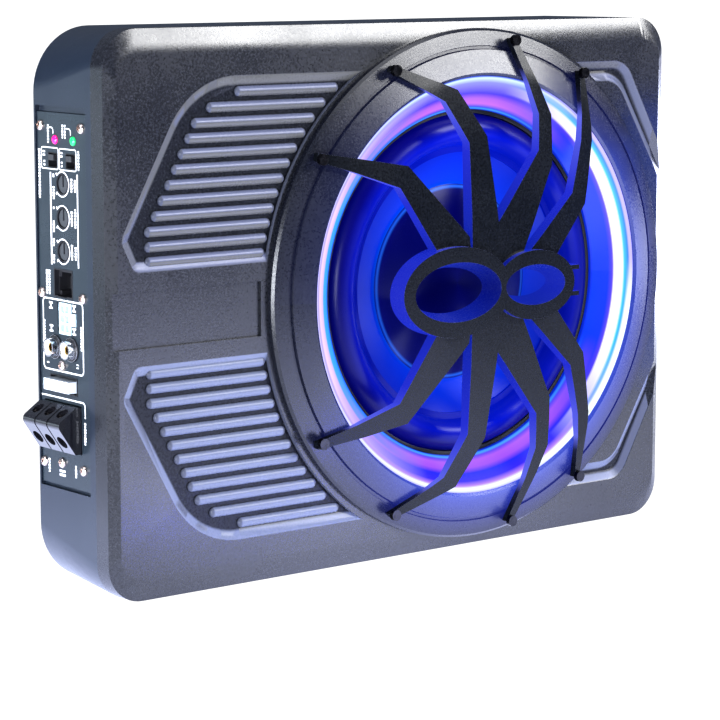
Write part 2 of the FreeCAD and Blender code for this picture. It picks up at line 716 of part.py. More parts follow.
def motor():
    """Top plate, ring magnet and yoke."""
    keep(driver_part("top_plate_turned", [
        ("coil_radius + 2", "38"), ("magnet_radius - 4", "38"), ("magnet_radius - 4", "42.5"),
        ("coil_radius + 2", "42.5")]), "top_plate")
    keep(driver_part("magnet_turned", [
        ("coil_radius + 5", "42.5"), ("magnet_radius", "42.5"), ("magnet_radius", "52"),
        ("coil_radius + 5", "52")]), "magnet")
    keep(driver_part("yoke_turned", [
        ("5", "38"), ("coil_radius - 0.8", "38"), ("coil_radius - 0.8", "52"), ("magnet_radius - 4", "52"),
        ("magnet_radius - 4", "56"), ("5", "56")]), "yoke")


# ---------------------------------------------------------------- control panel

# Depth and height of the plate's eight screws.
PLATE_SCREWS = (("35.3", "215.4"), ("1.5", "215.4"), ("36.2", "138.6"), ("2", "138.6"),
                ("20", "106.1"), ("36.2", "59.5"), ("21.1", "60.8"), ("3.2", "59.5"))
# Heights of the three knobs, from the top.
KNOB_ROWS = {"low_pass": "189.4", "bass_boost": "174", "input_gain": "158.7"}
# Depth of the two switches.
SWITCHES = {"phase_switch": "10.9", "auto_power_switch": "25.7"}
SWITCH_Z = "200"
LIGHTS = {"power_light": "8.4", "protect_light": "23.4"}
LIGHT_Z = "209.4"
# Socket middles: depth, height, then depth size and height size.
REMOTE_SOCKET = ("18.4", "144.1", "15.8", "13.2")
LEVEL_SOCKET = ("17.8", "128.1", "11.9", "14.6")
FUSE = ("19.2", "97.3", "23", "8.6")
RCA = {"left": "25.7", "right": "12"}
RCA_Z = "114.3"


def wall_block(name, middle, size, start, end):
    """A box given by its middle and size on the panel, and how far it runs in X from the plate's face."""
    depth, up = middle
    wide, tall = size
    return block(name, (f"{PLATE_X} + ({start})", f"({depth}) - ({wide}) / 2", f"({up}) - ({tall}) / 2"),
                 (f"{PLATE_X} + ({end})", f"({depth}) + ({wide}) / 2", f"({up}) + ({tall}) / 2"))


def wall_rod(name, middle, radius, start, end):
    depth, up = middle
    return rod(name, (f"{PLATE_X} + ({start})", depth, up), radius, f"({end}) - ({start})", "X")


def control_plate():
    """The panel's steel plate with every cut-out."""
    sheet_metal = block("plate_sheet", (PLATE_X, "panel_front", "panel_low"),
                        (PLATE_BACK, "panel_back", "panel_high"))
    holes = [wall_rod(f"plate_hole_{index}", place, "1.3", "-1", "4") for index, place in enumerate(PLATE_SCREWS)]
    holes += [wall_rod(f"plate_knob_{name}", ("knob_y", up), "knob_hole + 0.2", "-1", "4")
              for name, up in KNOB_ROWS.items()]
    holes += [wall_block(f"plate_switch_{name}", (depth, SWITCH_Z), ("7.9", "7.2"), "-1", "4")
              for name, depth in SWITCHES.items()]
    holes += [wall_rod(f"plate_light_{name}", (depth, LIGHT_Z), "2.2", "-1", "4")
              for name, depth in LIGHTS.items()]
    holes += [wall_block(f"plate_socket_{index}", row[:2], row[2:], "-1", "4")
              for index, row in enumerate((REMOTE_SOCKET, LEVEL_SOCKET, FUSE))]
    holes += [wall_rod(f"plate_rca_{side}", (depth, RCA_Z), "rca_radius + 0.4", "-1", "4")
              for side, depth in RCA.items()]
    holes.append(block("plate_terminal", (f"{PLATE_X} - 1", "4.8", "66.5"), (f"{PLATE_X} + 4", "36", "89")))
    keep(cut("plate_cut", sheet_metal, holes), "control_plate")


def plate_screws():
    screws = []
    for index, place in enumerate(PLATE_SCREWS):
        head = wall_rod(f"plate_head_{index}", place, "2.5", "-1.5", "0")
        shank = wall_rod(f"plate_shank_{index}", place, "1.1", "0", "4.5")
        slot = wall_block(f"plate_slot_{index}", place, ("3.4", "0.7"), "-1.6", "-0.7")
        cross = wall_block(f"plate_cross_{index}", place, ("0.7", "3.4"), "-1.6", "-0.7")
        screws.append(cut(f"plate_screw_{index}", join(f"plate_screw_blank_{index}", [head, shank]), [slot, cross]))
    keep(group("plate_screw_set", screws), "plate_screws")


def knobs():
    """Three recessed rotary controls: a potentiometer with its own turning knob."""
    for name, up in KNOB_ROWS.items():
        place = ("knob_y", up)
        case = wall_block(f"{name}_case", place, ("10", "10"), "panel_thickness", "9")
        sleeve = wall_rod(f"{name}_sleeve", place, "knob_hole", "0", "panel_thickness")
        well = wall_rod(f"{name}_well", place, "knob_radius + 0.3", "-0.5", "3.4")
        bore = wall_rod(f"{name}_bore", place, "shaft_radius + 0.05", "3", "8")
        keep(cut(f"{name}_cut", join(f"{name}_solid", [case, sleeve]), [well, bore]), f"{name}_control")
        disc = wall_rod(f"{name}_disc", place, "knob_radius", "0.6", "3")
        shaft = wall_rod(f"{name}_shaft", place, "shaft_radius", "3", "7.8")
        slot = block(f"{name}_slot", (f"{PLATE_X} + 0.5", "knob_y - 0.6", f"{up} - 1.2"),
                     (f"{PLATE_X} + 1.8", "knob_y + 0.6", f"{up} + 4"))
        keep(cut(f"{name}_turner", join(f"{name}_blank", [disc, shaft]), [slot]), f"{name}_knob")


def switches():
    """Two slide switches: a frame in the plate and a small slider that travels up and down."""
    for name, depth in SWITCHES.items():
        place = (depth, SWITCH_Z)
        frame = wall_block(f"{name}_frame", place, ("7.7", "7"), "0", "7")
        flange = wall_block(f"{name}_flange", place, ("10.4", "9.6"), "panel_thickness", "7")
        track = wall_block(f"{name}_track", place, ("6.9", "6.2"), "-0.5", "5")
        keep(cut(f"{name}_cut", join(f"{name}_solid", [frame, flange]), [track]), f"{name}_body")
        rest = (depth, f"{SWITCH_Z} + 1.25")
        foot = wall_block(f"{name}_foot", rest, ("6.5", "3.4"), "2.2", "4.8")
        nub = wall_block(f"{name}_nub", rest, ("4.4", "2.6"), "-1", "2.2")
        keep(join(f"{name}_slide", [foot, nub]), f"{name}_slider")


def lights():
    for name, depth in LIGHTS.items():
        place = (depth, LIGHT_Z)
        lens = wall_rod(f"{name}_lens", place, "2.1", "-1", "4")
        base = wall_rod(f"{name}_base", place, "2.6", "panel_thickness + 0.1", "4")
        keep(join(f"{name}_solid", [lens, base]), name)


def remote_socket():
    """Six-way modular socket for the wired level remote."""
    depth, up, wide, tall = REMOTE_SOCKET
    shell = wall_block("remote_shell", (depth, up), (f"{wide} - 0.2", f"{tall} - 0.2"), "-0.1", "12")
    pocket = wall_block("remote_pocket", (depth, up), (f"{wide} - 1.4", f"{tall} - 1.4"), "-1", "2.4")
    cavity = wall_block("remote_cavity", (f"{depth} + 0.6", f"{up} - 0.7"), ("8.2", "11"), "-1", "11")
    latch = wall_block("remote_latch", (f"{depth} + 5.2", f"{up} - 0.7"), ("3", "6.4"), "-1", "8")
    keep(cut("remote_cut", shell, [pocket, cavity, latch]), "remote_socket")
    contacts = [wall_block(f"remote_contact_{step}", (f"{depth} - 2.5", f"{up} - 0.7 + {1.3 * (step - 2.5)}"),
                           ("1.8", "0.5"), "4", "10.9") for step in range(6)]
    keep(group("remote_contact_set", contacts), "remote_contacts")


def level_socket():
    """White two by three socket for speaker-level input, with a latch hood on one side."""
    depth, up, wide, tall = LEVEL_SOCKET
    middle = f"({depth} - 1.2)"
    shell = wall_block("level_shell", (middle, up), ("9.3", f"{tall} - 0.2"), "-0.8", "11")
    hood = block("level_hood", (f"{PLATE_X} - 0.8", f"{middle} - 8.7", f"{up} - 2.9"),
                 (f"{PLATE_X} - 0.05", f"{middle} - 4.5", f"{up} + 2.9"))
    ways = []
    pins = []
    for column, side in enumerate((-1, 1)):
        for line, step in enumerate((-1, 0, 1)):
            place = (f"{middle} + ({side}) * 1.95", f"{up} + ({step}) * 4.35")
            ways.append(wall_block(f"level_way_{column}_{line}", place, ("3.2", "3.3"), "-2", "9"))
            pins.append(wall_block(f"level_pin_{column}_{line}", place, ("0.8", "0.8"), "2", "9"))
    keep(cut("level_cut", join("level_solid", [shell, hood]), ways), "speaker_level_socket")
    keep(group("level_pin_set", pins), "speaker_level_pins")


def rca_sockets():
    """Two line-level sockets: nickel barrel, plastic core and centre contact."""
    cores = []
    contacts = []
    for side, depth in RCA.items():
        place = (depth, RCA_Z)
        barrel = wall_rod(f"rca_barrel_{side}", place, "rca_radius", "-rca_reach", "3")
        collar = wall_rod(f"rca_collar_{side}", place, "rca_radius + 1.3", "-0.9", "-0.05")
        hollow = wall_rod(f"rca_hollow_{side}", place, "rca_radius - 0.7", "-rca_reach - 1", "4")
        keep(cut(f"rca_shell_{side}", join(f"rca_metal_{side}", [barrel, collar]), [hollow]), f"rca_{side}")
        core = wall_rod(f"rca_core_{side}", place, "rca_radius - 0.7", "-3", "9")
        seat_hole = wall_rod(f"rca_seat_{side}", place, "2.2", "-4", "10")
        cores.append(cut(f"rca_insulator_{side}", core, [seat_hole]))
        sleeve = wall_rod(f"rca_sleeve_{side}", place, "2.2", "-2.6", "11.9")
        bore = wall_rod(f"rca_bore_{side}", place, "1.6", "-3", "8")
        contacts.append(cut(f"rca_contact_{side}", sleeve, [bore]))
    keep(group("rca_insulator_set", cores), "rca_insulators")
    keep(group("rca_contact_set", contacts), "rca_contacts")


def fuse_and_holder():
    """Blade fuse that pulls straight out of its holder."""
    depth, up, wide, tall = FUSE
    shell = wall_block("fuse_shell", (depth, up), (f"{wide} - 0.2", f"{tall} - 0.2"), "-0.2", "16")
    cavity = wall_block("fuse_cavity", (depth, up), ("21.8", "7.4"), "-1", "9")
    slots = [wall_block(f"fuse_slot_{index}", (f"{depth} + ({side}) * 7", up), ("5.6", "1.2"), "8", "15")
             for index, side in enumerate((-1, 1))]
    keep(cut("fuse_holder_cut", shell, [cavity] + slots), "fuse_holder")
    cap = wall_block("fuse_cap", (depth, up), ("20.6", "5.2"), "-4.4", "4.6")
    waist = wall_block("fuse_waist", (depth, up), ("16.4", "3.6"), "4.5", "8.8")
    blades = [wall_block(f"fuse_blade_{index}", (f"{depth} + ({side}) * 7", up), ("5.2", "0.7"), "7.5", "14.6")
              for index, side in enumerate((-1, 1))]
    keep(join("fuse_solid", [cap, waist] + blades), "blade_fuse")


# Corners of the terminal wedge seen along Y: out from the plate, and height.
WEDGE_TOP_Z = "88.7"
WEDGE_NOSE_Z = "81.6"
WEDGE_LOW_Z = "66.9"
POLE_NAMES = ("plus", "remote_turn_on", "ground")
# The screw axis leans back from straight up; the wire entry points down and out.
SCREW_LEAN = -30
WIRE_LEAN = -126


def leaning_rod(name, start, lean, radius, length):
    """A rod that starts at a point and leans in the X-Z plane, in degrees from +Z towards +X."""
    solid = doc.addObject("Part::Cylinder", name)
    solid.Placement = Placement(Vector(), Rotation(Vector(0, 1, 0), lean))
    bind(solid, "Radius", radius)
    bind(solid, "Height", length)
    seat(solid, start)
    return solid


def leaning_slot(name, middle, lean):
    """A screwdriver slot along Y, centred on a leaning screw's top."""
    width, length, depth = 0.9, 6.0, 2.2
    turn = Rotation(Vector(0, 1, 0), lean)
    spot = Vector(*[measure(text) for text in middle])
    solid = doc.addObject("Part::Box", name)
    solid.Length = width
    solid.Width = length
    solid.Height = depth
    solid.Placement = Placement(spot, turn).multiply(Placement(Vector(-width, -length, -depth) * 0.5, Rotation()))
    return solid


def terminal_block():
    """Three-pole power terminal: a wedge with screws above and wire entries below."""
    owner = body("terminal_wedge")
    corners = [(f"{PLATE_X} + 3", WEDGE_TOP_Z), (f"{PLATE_X} - 2.8", WEDGE_TOP_Z),
               (f"{PLATE_X} - block_reach", WEDGE_NOSE_Z, "3"),
               (f"{PLATE_X} - 3.4", WEDGE_LOW_Z), (f"{PLATE_X} + 3", WEDGE_LOW_Z)]
    sketch = outline(owner, "wedge_outline", "XZ_Plane", corners, "-(pole_middle - pole_pitch * 1.5)")
    pad = owner.newObject("PartDesign::Pad", "wedge_pad")
    pad.Profile = sketch
    pad.Reversed = True
    bind(pad, "Length", "pole_pitch * 3")
    base = block("terminal_base", (f"{PLATE_X} + 2", "pole_middle - pole_pitch * 1.5 + 0.1", "67.2"),
                 (f"{PLATE_X} + 12.5", "pole_middle + pole_pitch * 1.5 - 0.1", "87"))
    tools = []
    for index, name in enumerate(POLE_NAMES):
        depth = f"pole_middle + ({index} - 1) * pole_pitch"
        foot = (f"{PLATE_X} - 0.8", depth, "75.2")
        tools.append(leaning_rod(f"screw_well_{name}", foot, SCREW_LEAN, "3", "20"))
        mouth = (f"{PLATE_X} - 0.2", depth, "77.6")
        tools.append(leaning_rod(f"wire_way_{name}", mouth, WIRE_LEAN, "wire_bore", "20"))
        tools.append(leaning_rod(f"clamp_room_{name}", mouth, WIRE_LEAN, "wire_bore + 0.8", "5"))
    for index in (0, 1):
        depth = f"pole_middle + ({index} - 0.5) * pole_pitch"
        tools.append(slab(f"pole_groove_{index}", (f"{PLATE_X} - 8", depth, "78"), ("15.9", "0.9", "30")))
    keep(cut("terminal_cut", join("terminal_solid", [owner, base]), tools), "terminal_block")
    for index, name in enumerate(POLE_NAMES):
        depth = f"pole_middle + ({index} - 1) * pole_pitch"
        start = (f"{PLATE_X} - 3.15", depth, "79.27")
        shank = leaning_rod(f"screw_shank_{name}", start, SCREW_LEAN, "1.6", "4.2")
        head = leaning_rod(f"screw_head_{name}", (f"{PLATE_X} - 4.4", depth, "81.43"), SCREW_LEAN, "2.7", "1.9")
        slot = leaning_slot(f"screw_slot_{name}", (f"{PLATE_X} - 5.35", depth, "83.08"), SCREW_LEAN)
        keep(cut(f"screw_{name}", join(f"screw_blank_{name}", [shank, head]), [slot]), f"{name}_screw")
        tongue = leaning_rod(f"clamp_disc_{name}", (f"{PLATE_X} - 2.45", depth, "78.06"), SCREW_LEAN, "2.7", "1.3")
        keep(tongue, f"{name}_clamp")


# ---------------------------------------------------------------- electronics

def control_board():
    """Board behind the plate that carries the controls and sockets."""
    board = block("control_board_sheet", (f"{PLATE_X} + 12.6", "panel_front + 1", "panel_low + 2"),
                  (f"{PLATE_X} + 14.2", "panel_back - 1.5", "panel_high - 2"))
    depth, up, wide, tall = FUSE
    slot = wall_block("control_board_slot", (depth, up), (f"{wide} + 0.6", f"{tall} + 0.6"), "12", "15")
    keep(cut("control_board_cut", board, [slot]), "control_board")


def amplifier():
    """Power board with its capacitors, choke, transistors and finned heat sink."""
    keep(block("amplifier_sheet", ("case_x - 156", "20", "60"), ("case_x - 72", "21.6", "212")), "amplifier_board")
    cans = [rod(f"can_{index}", (f"case_x - {across}", "-2", up), "8.5", "22", "Y")
            for index, (across, up) in enumerate((("90", "196"), ("112", "196"), ("90", "176"), ("112", "176")))]
    keep(group("capacitor_set", cans), "capacitors")
    choke = doc.addObject("Part::Torus", "choke_ring")
    choke.Placement = Placement(Vector(), Rotation(Vector(1, 0, 0), 90))
    choke.Radius1 = 13
    choke.Radius2 = 6
    seat(choke, ("case_x - 104", "13.9", "142"))
    keep(choke, "choke_coil")
    base = block("sink_base", ("case_x - 146", "26.6", "64"), ("case_x - 80", "29.6", "150"))
    fins = [block(f"sink_fin_{step}", (f"case_x - 146 + {step * 7.3}", "29.6", "64"),
                  (f"case_x - 146 + {step * 7.3} + 1.6", "35.4", "150")) for step in range(9)]
    keep(join("sink_solid", [base] + fins), "heat_sink")
    packs = [block(f"transistor_{step}", ("case_x - 138 + 14 * " + str(step), "21.9", "84"),
                   ("case_x - 128 + 14 * " + str(step), "26.6", "100")) for step in range(4)]
    keep(group("transistor_set", packs), "transistors")


def write_parts():
    doc.recompute()
    failed = [item.Name for item in doc.Objects if "Invalid" in item.State or "Error" in item.State]
    if failed:
        raise RuntimeError(f"objects that failed: {failed}")
    for part in SUB_PARTS:
        if part.Shape.isNull() or not part.Shape.isValid():
            raise RuntimeError(f"{part.Label} has no sound shape")
    os.makedirs("parts", exist_ok=True)
    for part in SUB_PARTS:
        part.Shape.exportStep(f"parts/{part.Label}.step")
        solids = len(part.Shape.Solids)
        print(f"{part.Label:24s} solids {solids:3d}  volume {part.Shape.Volume:12.1f} mm3")


SECTIONS = (rear_shell, front_cover, cover_seal, case_screws, mounting_inserts,
            bezel_ring, led_diffuser, led_board, led_chips, guard, guard_screws,
            basket, gasket, driver_screws, surround, cone, dust_cap, voice_coil, spider, motor,
            control_plate, plate_screws, knobs, switches, lights, remote_socket, level_socket,
            rca_sockets, fuse_and_holder, terminal_block, control_board, amplifier)
for section in SECTIONS:
    section()
write_parts()
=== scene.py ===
"""Looks of the slim powered car subwoofer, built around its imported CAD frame. Lengths in metres."""
import json
import math

import bmesh
import bpy
from mathutils import Matrix, Vector


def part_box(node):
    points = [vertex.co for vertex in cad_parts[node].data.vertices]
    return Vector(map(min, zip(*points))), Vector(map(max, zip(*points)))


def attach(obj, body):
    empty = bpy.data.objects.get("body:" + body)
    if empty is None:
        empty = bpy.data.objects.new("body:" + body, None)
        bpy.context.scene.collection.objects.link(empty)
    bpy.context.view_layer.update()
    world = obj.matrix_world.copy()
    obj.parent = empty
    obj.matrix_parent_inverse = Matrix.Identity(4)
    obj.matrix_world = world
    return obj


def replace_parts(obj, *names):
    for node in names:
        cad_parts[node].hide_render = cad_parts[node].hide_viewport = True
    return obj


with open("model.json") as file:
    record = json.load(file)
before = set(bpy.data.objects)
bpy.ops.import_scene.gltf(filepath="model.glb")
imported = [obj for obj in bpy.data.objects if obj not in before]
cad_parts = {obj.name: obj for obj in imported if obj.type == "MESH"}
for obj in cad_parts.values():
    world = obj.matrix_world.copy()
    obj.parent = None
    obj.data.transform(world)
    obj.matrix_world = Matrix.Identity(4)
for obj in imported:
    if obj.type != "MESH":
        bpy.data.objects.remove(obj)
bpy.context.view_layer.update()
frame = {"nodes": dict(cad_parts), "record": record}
nodes = frame["nodes"]
body_of = {node: body for body, members in frame["record"]["behaviour"]["bodies"].items() for node in members}
slot_of = {row["node"]: row["material_slot"] for row in frame["record"]["subparts"]}

MM = 0.001
SPEAKER_X = 0.0467
SPEAKER_Z = 0.131
FACE_Y = -0.020
PANEL_X = -0.1665

# The cover's recesses: how deep they go, their ends along X, and their near and far sides from SPEAKER_Z.
RECESS_REACH = 2.8 * MM
RECESS_LEFT, RECESS_RIGHT = -0.1612, 0.1700
RECESS_NEAR, RECESS_FAR = 0.0200, 0.1092

# Inner and outer radius of the lit ring's colours.
RING_INNER, RING_OUTER = 0.086, 0.103

BLACK = (0.0, 0.0, 0.0)
WHITE = (1.0, 1.0, 1.0)
SPECULAR = "Specular IOR Level"


# ---------------------------------------------------------------- node helpers

def new_material(name):
    material = bpy.data.materials.new(name)
    material.use_nodes = True
    material.node_tree.nodes.clear()
    return material


class Nodes:
    """Small wrapper that adds nodes to one material and links their sockets."""

    def __init__(self, material):
        self.tree = material.node_tree
        self.place = self.add("ShaderNodeTexCoord").outputs["Object"]

    def add(self, kind, **settings):
        node = self.tree.nodes.new(kind)
        for key, value in settings.items():
            setattr(node, key, value)
        return node

    def link(self, source, target):
        self.tree.links.new(source, target)

    def normal(self):
        return self.add("ShaderNodeNewGeometry").outputs["Normal"]

    def noise(self, scale, detail=2.0, roughness=0.5, stretch=None):
        """Noise between 0 and 1; scale counts features in a metre."""
        node = self.add("ShaderNodeTexNoise")
        node.inputs["Scale"].default_value = scale
        node.inputs["Detail"].default_value = detail
        node.inputs["Roughness"].default_value = roughness
        place = self.place
        if stretch:
            mapping = self.add("ShaderNodeMapping")
            mapping.inputs["Scale"].default_value = stretch
            self.link(place, mapping.inputs["Vector"])
            place = mapping.outputs["Vector"]
        self.link(place, node.inputs["Vector"])
        return node.outputs["Fac"]

    def remap(self, value, low, high, to_low, to_high):
        node = self.add("ShaderNodeMapRange")
        for name, number in zip(("From Min", "From Max", "To Min", "To Max"), (low, high, to_low, to_high)):
            node.inputs[name].default_value = number
        self.link(value, node.inputs["Value"])
        return node.outputs["Result"]

    def ramp(self, value, stops, interpolation="LINEAR"):
        """Colour ramp; stops are (position, (r, g, b))."""
        node = self.add("ShaderNodeValToRGB")
        node.color_ramp.interpolation = interpolation
        elements = node.color_ramp.elements
        while len(elements) < len(stops):
            elements.new(0.5)
        for element, (position, colour) in zip(elements, stops):
            element.position = position
            element.color = (*colour, 1)
        self.link(value, node.inputs["Fac"])
        return node.outputs["Color"]

    def maths(self, operation, first, second=None):
        node = self.add("ShaderNodeMath", operation=operation)
        for index, item in enumerate((first, second)):
            if item is None:
                continue
            if isinstance(item, (int, float)):
                node.inputs[index].default_value = item
            else:
                self.link(item, node.inputs[index])
        return node.outputs[0]

    def mix(self, factor, first, second, blend="MIX"):
        """Mix of two colours, each a socket or an (r, g, b)."""
        node = self.add("ShaderNodeMix", data_type="RGBA", blend_type=blend)
        for socket, item in ((node.inputs[0], factor), (node.inputs[6], first), (node.inputs[7], second)):
            if isinstance(item, (int, float)):
                socket.default_value = item
            elif isinstance(item, tuple):
                socket.default_value = (*item, 1)
            else:
                self.link(item, socket)
        return node.outputs[2]

    def bump(self, height, strength, distance, under=None):
        node = self.add("ShaderNodeBump")
        node.inputs["Strength"].default_value = strength
        node.inputs["Distance"].default_value = distance
        self.link(height, node.inputs["Height"])
        if under:
            self.link(under, node.inputs["Normal"])
        return node.outputs["Normal"]

    def surface(self, colour, roughness, normal=None, **fixed):
        """Principled shader joined to the output; fixed values go straight on its sockets."""
        shader = self.add("ShaderNodeBsdfPrincipled")
        for socket, item in (("Base Color", colour), ("Roughness", roughness)):
            if isinstance(item, tuple):
                shader.inputs[socket].default_value = (*item, 1)
            elif isinstance(item, (int, float)):
                shader.inputs[socket].default_value = item
            else:
                self.link(item, shader.inputs[socket])
        if normal:
            self.link(normal, shader.inputs["Normal"])
        for name, value in fixed.items():
            shader.inputs[name.replace("_", " ")].default_value = value
        output = self.add("ShaderNodeOutputMaterial")
        self.link(shader.outputs["BSDF"], output.inputs["Surface"])
        return shader


def shade(colour, factor):
    return tuple(channel * factor for channel in colour)


def grey(level):
    return (level, level, level)


def moulded(name, colour, rough=0.5, grain=0.35, relief=0.03, speckle=0.25, **fixed):
    """Moulded plastic or paint: fine grain in mm, speckle in brightness, cloudy gloss."""
    material = new_material(name)
    make = Nodes(material)
    fine = make.noise(1 / (grain * MM), 3.0, 0.6)
    broad = make.noise(24.0, 3.0)
    tone = make.ramp(fine, ((0.28, shade(colour, 1 - speckle)), (0.72, shade(colour, 1 + speckle))))
    cloud = make.remap(broad, 0.3, 0.7, 0.92, 1.08)
    clouded = make.ramp(cloud, ((0.0, grey(0.9)), (1.0, WHITE)))
    tint = make.mix(1.0, tone, clouded, "MULTIPLY")
    gloss = make.maths("ADD", make.remap(broad, 0.3, 0.7, rough - 0.05, rough + 0.05),
                       make.remap(fine, 0.3, 0.7, -0.04, 0.04))
    normal = make.bump(fine, 0.6, relief * MM)
    make.surface(tint, gloss, normal, **fixed)
    return material


def principled(material):
    return next(n for n in material.node_tree.nodes if n.type == "BSDF_PRINCIPLED")


def glows(make, shader, colour, strength):
    """Sends a colour socket to the shader's emission."""
    make.link(colour, shader.inputs["Emission Color"])
    shader.inputs["Emission Strength"].default_value = strength


def parts_of(make, source):
    """The X, Y and Z outputs of a vector socket."""
    split = make.add("ShaderNodeSeparateXYZ")
    make.link(source, split.inputs[0])
    return split.outputs["X"], split.outputs["Y"], split.outputs["Z"]


def metal(name, colour, rough=0.25, brush=0.2, **fixed):
    """Plated metal with fine turning marks and dulled patches."""
    material = new_material(name)
    make = Nodes(material)
    marks = make.noise(2600.0, 4.0, 0.7, (1.0, 0.2, 1.0))
    dull = make.noise(380.0, 3.0)
    tint = make.ramp(dull, ((0.3, shade(colour, 1 - brush)), (0.7, colour)))
    gloss = make.remap(dull, 0.3, 0.7, rough + 0.12, rough)
    make.surface(tint, gloss, make.bump(marks, 0.35, 0.01 * MM), Metallic=1.0, **fixed)
    return material


# ---------------------------------------------------------------- materials

def polar(make):
    """Distance from the speaker's axis in metres, and the turn about it.

    The turn is 0 or 1 at the left, 0.25 at the bottom, 0.5 at the right and 0.75 at the top.
    """
    x, _, z = parts_of(make, make.place)
    across = make.maths("SUBTRACT", x, SPEAKER_X)
    up = make.maths("SUBTRACT", z, SPEAKER_Z)
    radius = make.maths("SQRT", make.maths("ADD", make.maths("MULTIPLY", across, across),
                                           make.maths("MULTIPLY", up, up)))
    turn = make.remap(make.maths("ARCTAN2", up, across), -math.pi, math.pi, 0.0, 1.0)
    return radius, turn


# Colours of the lit ring from its inner edge (0) to its outer edge (1), for four sides.
RING_RIGHT = ((0.0, (0.0, 0.02, 0.45)), (0.06, (0.0, 0.04, 0.85)), (0.42, (0.0, 0.03, 0.75)),
              (0.52, (0.10, 0.05, 0.9)), (0.57, (1.0, 0.95, 1.0)), (0.74, (1.0, 1.0, 1.0)),
              (0.80, (0.06, 0.50, 1.0)), (0.89, (0.03, 0.20, 0.95)), (0.93, (0.50, 0.42, 0.95)),
              (1.0, (0.45, 0.40, 0.90)))
RING_LEFT = ((0.0, (0.0, 0.03, 0.6)), (0.10, (0.04, 0.30, 1.0)), (0.36, (0.06, 0.36, 1.0)),
             (0.44, (0.62, 0.44, 0.85)), (0.72, (0.74, 0.56, 0.90)), (0.84, (0.34, 0.28, 0.85)),
             (0.94, (0.62, 0.58, 1.0)), (1.0, (0.5, 0.5, 1.0)))
RING_TOP = ((0.0, (0.0, 0.02, 0.4)), (0.04, (0.06, 0.30, 1.0)), (0.08, (0.05, 0.08, 0.9)),
            (0.18, (0.50, 0.14, 0.85)), (0.32, (0.40, 0.12, 0.9)), (0.48, (0.08, 0.04, 1.0)),
            (0.66, (0.20, 0.16, 1.0)), (0.80, (0.26, 0.26, 1.0)), (0.93, (0.60, 0.78, 1.0)),
            (0.98, (0.02, 0.06, 0.45)))
RING_BOTTOM = ((0.0, (0.0, 0.02, 0.4)), (0.05, (0.07, 0.33, 1.0)), (0.10, (0.10, 0.06, 0.9)),
               (0.20, (0.36, 0.10, 0.85)), (0.36, (0.30, 0.08, 0.85)), (0.50, (0.02, 0.02, 1.0)),
               (0.70, (0.04, 0.02, 1.0)), (0.82, (0.40, 0.20, 0.95)), (0.90, (0.85, 0.98, 1.0)),
               (1.0, (0.40, 0.36, 0.9)))


def diffuser_material():
    """Opal ring lit from behind: a white-hot band between blue and violet edges."""
    material = new_material("lit_diffuser")
    make = Nodes(material)
    radius, turn = polar(make)
    reach = make.remap(radius, RING_INNER, RING_OUTER, 0.0, 1.0)
    at_right = make.ramp(turn, ((0.34, BLACK), (0.44, WHITE), (0.62, WHITE), (0.72, BLACK)))
    at_left = make.ramp(turn, ((0.06, WHITE), (0.20, BLACK), (0.80, BLACK), (0.93, WHITE)))
    upper = make.ramp(turn, ((0.48, BLACK), (0.52, WHITE), (0.96, WHITE), (1.0, BLACK)))
    glow = make.mix(upper, make.ramp(reach, RING_BOTTOM), make.ramp(reach, RING_TOP))
    glow = make.mix(at_left, glow, make.ramp(reach, RING_LEFT))
    glow = make.mix(at_right, glow, make.ramp(reach, RING_RIGHT))
    lower_right = make.ramp(turn, ((0.30, BLACK), (0.36, WHITE), (0.47, WHITE), (0.51, BLACK)))
    rim = make.maths("MULTIPLY", make.ramp(reach, ((0.84, BLACK), (0.90, WHITE))), lower_right)
    glow = make.mix(rim, glow, (0.9, 1.0, 1.0))
    shader = make.surface((0.005, 0.01, 0.05), 0.25, None, Specular_IOR_Level=0.2)
    glows(make, shader, glow, 1.15)
    return material


# How strongly the painted blue light shows on the driver at each turn about its axis.
PAINTED_SIDE_LIGHT = ((0.0, 0.62), (0.16, 0.75), (0.30, 1.0), (0.45, 0.55), (0.60, 0.80), (0.75, 1.25),
              (0.90, 0.85), (1.0, 0.62))


def painted_glow_material(name, colour, rough, stops, span, grain=0.8, relief=0.01, strength=0.9, **fixed):
    """A driver part with the ring's blue light painted on as emission: stops give the painted glow along the
    radius span.
    """
    material = new_material(name)
    make = Nodes(material)
    radius, turn = polar(make)
    fine = make.noise(1 / (grain * MM), 3.0, 0.6)
    glow = make.ramp(make.remap(radius, span[0], span[1], 0.0, 1.0), stops)
    side = make.ramp(turn, tuple((place, grey(level)) for place, level in PAINTED_SIDE_LIGHT))
    tint = make.ramp(fine, ((0.3, shade(colour, 0.8)), (0.7, colour)))
    shader = make.surface(tint, make.remap(fine, 0.3, 0.7, rough - 0.03, rough + 0.03),
                          make.bump(fine, 0.5, relief * MM), **fixed)
    # The ring's blue light is painted into the emission here; no lamp casts it.
    glows(make, shader, make.mix(1.0, glow, side, "MULTIPLY"), strength)
    return material


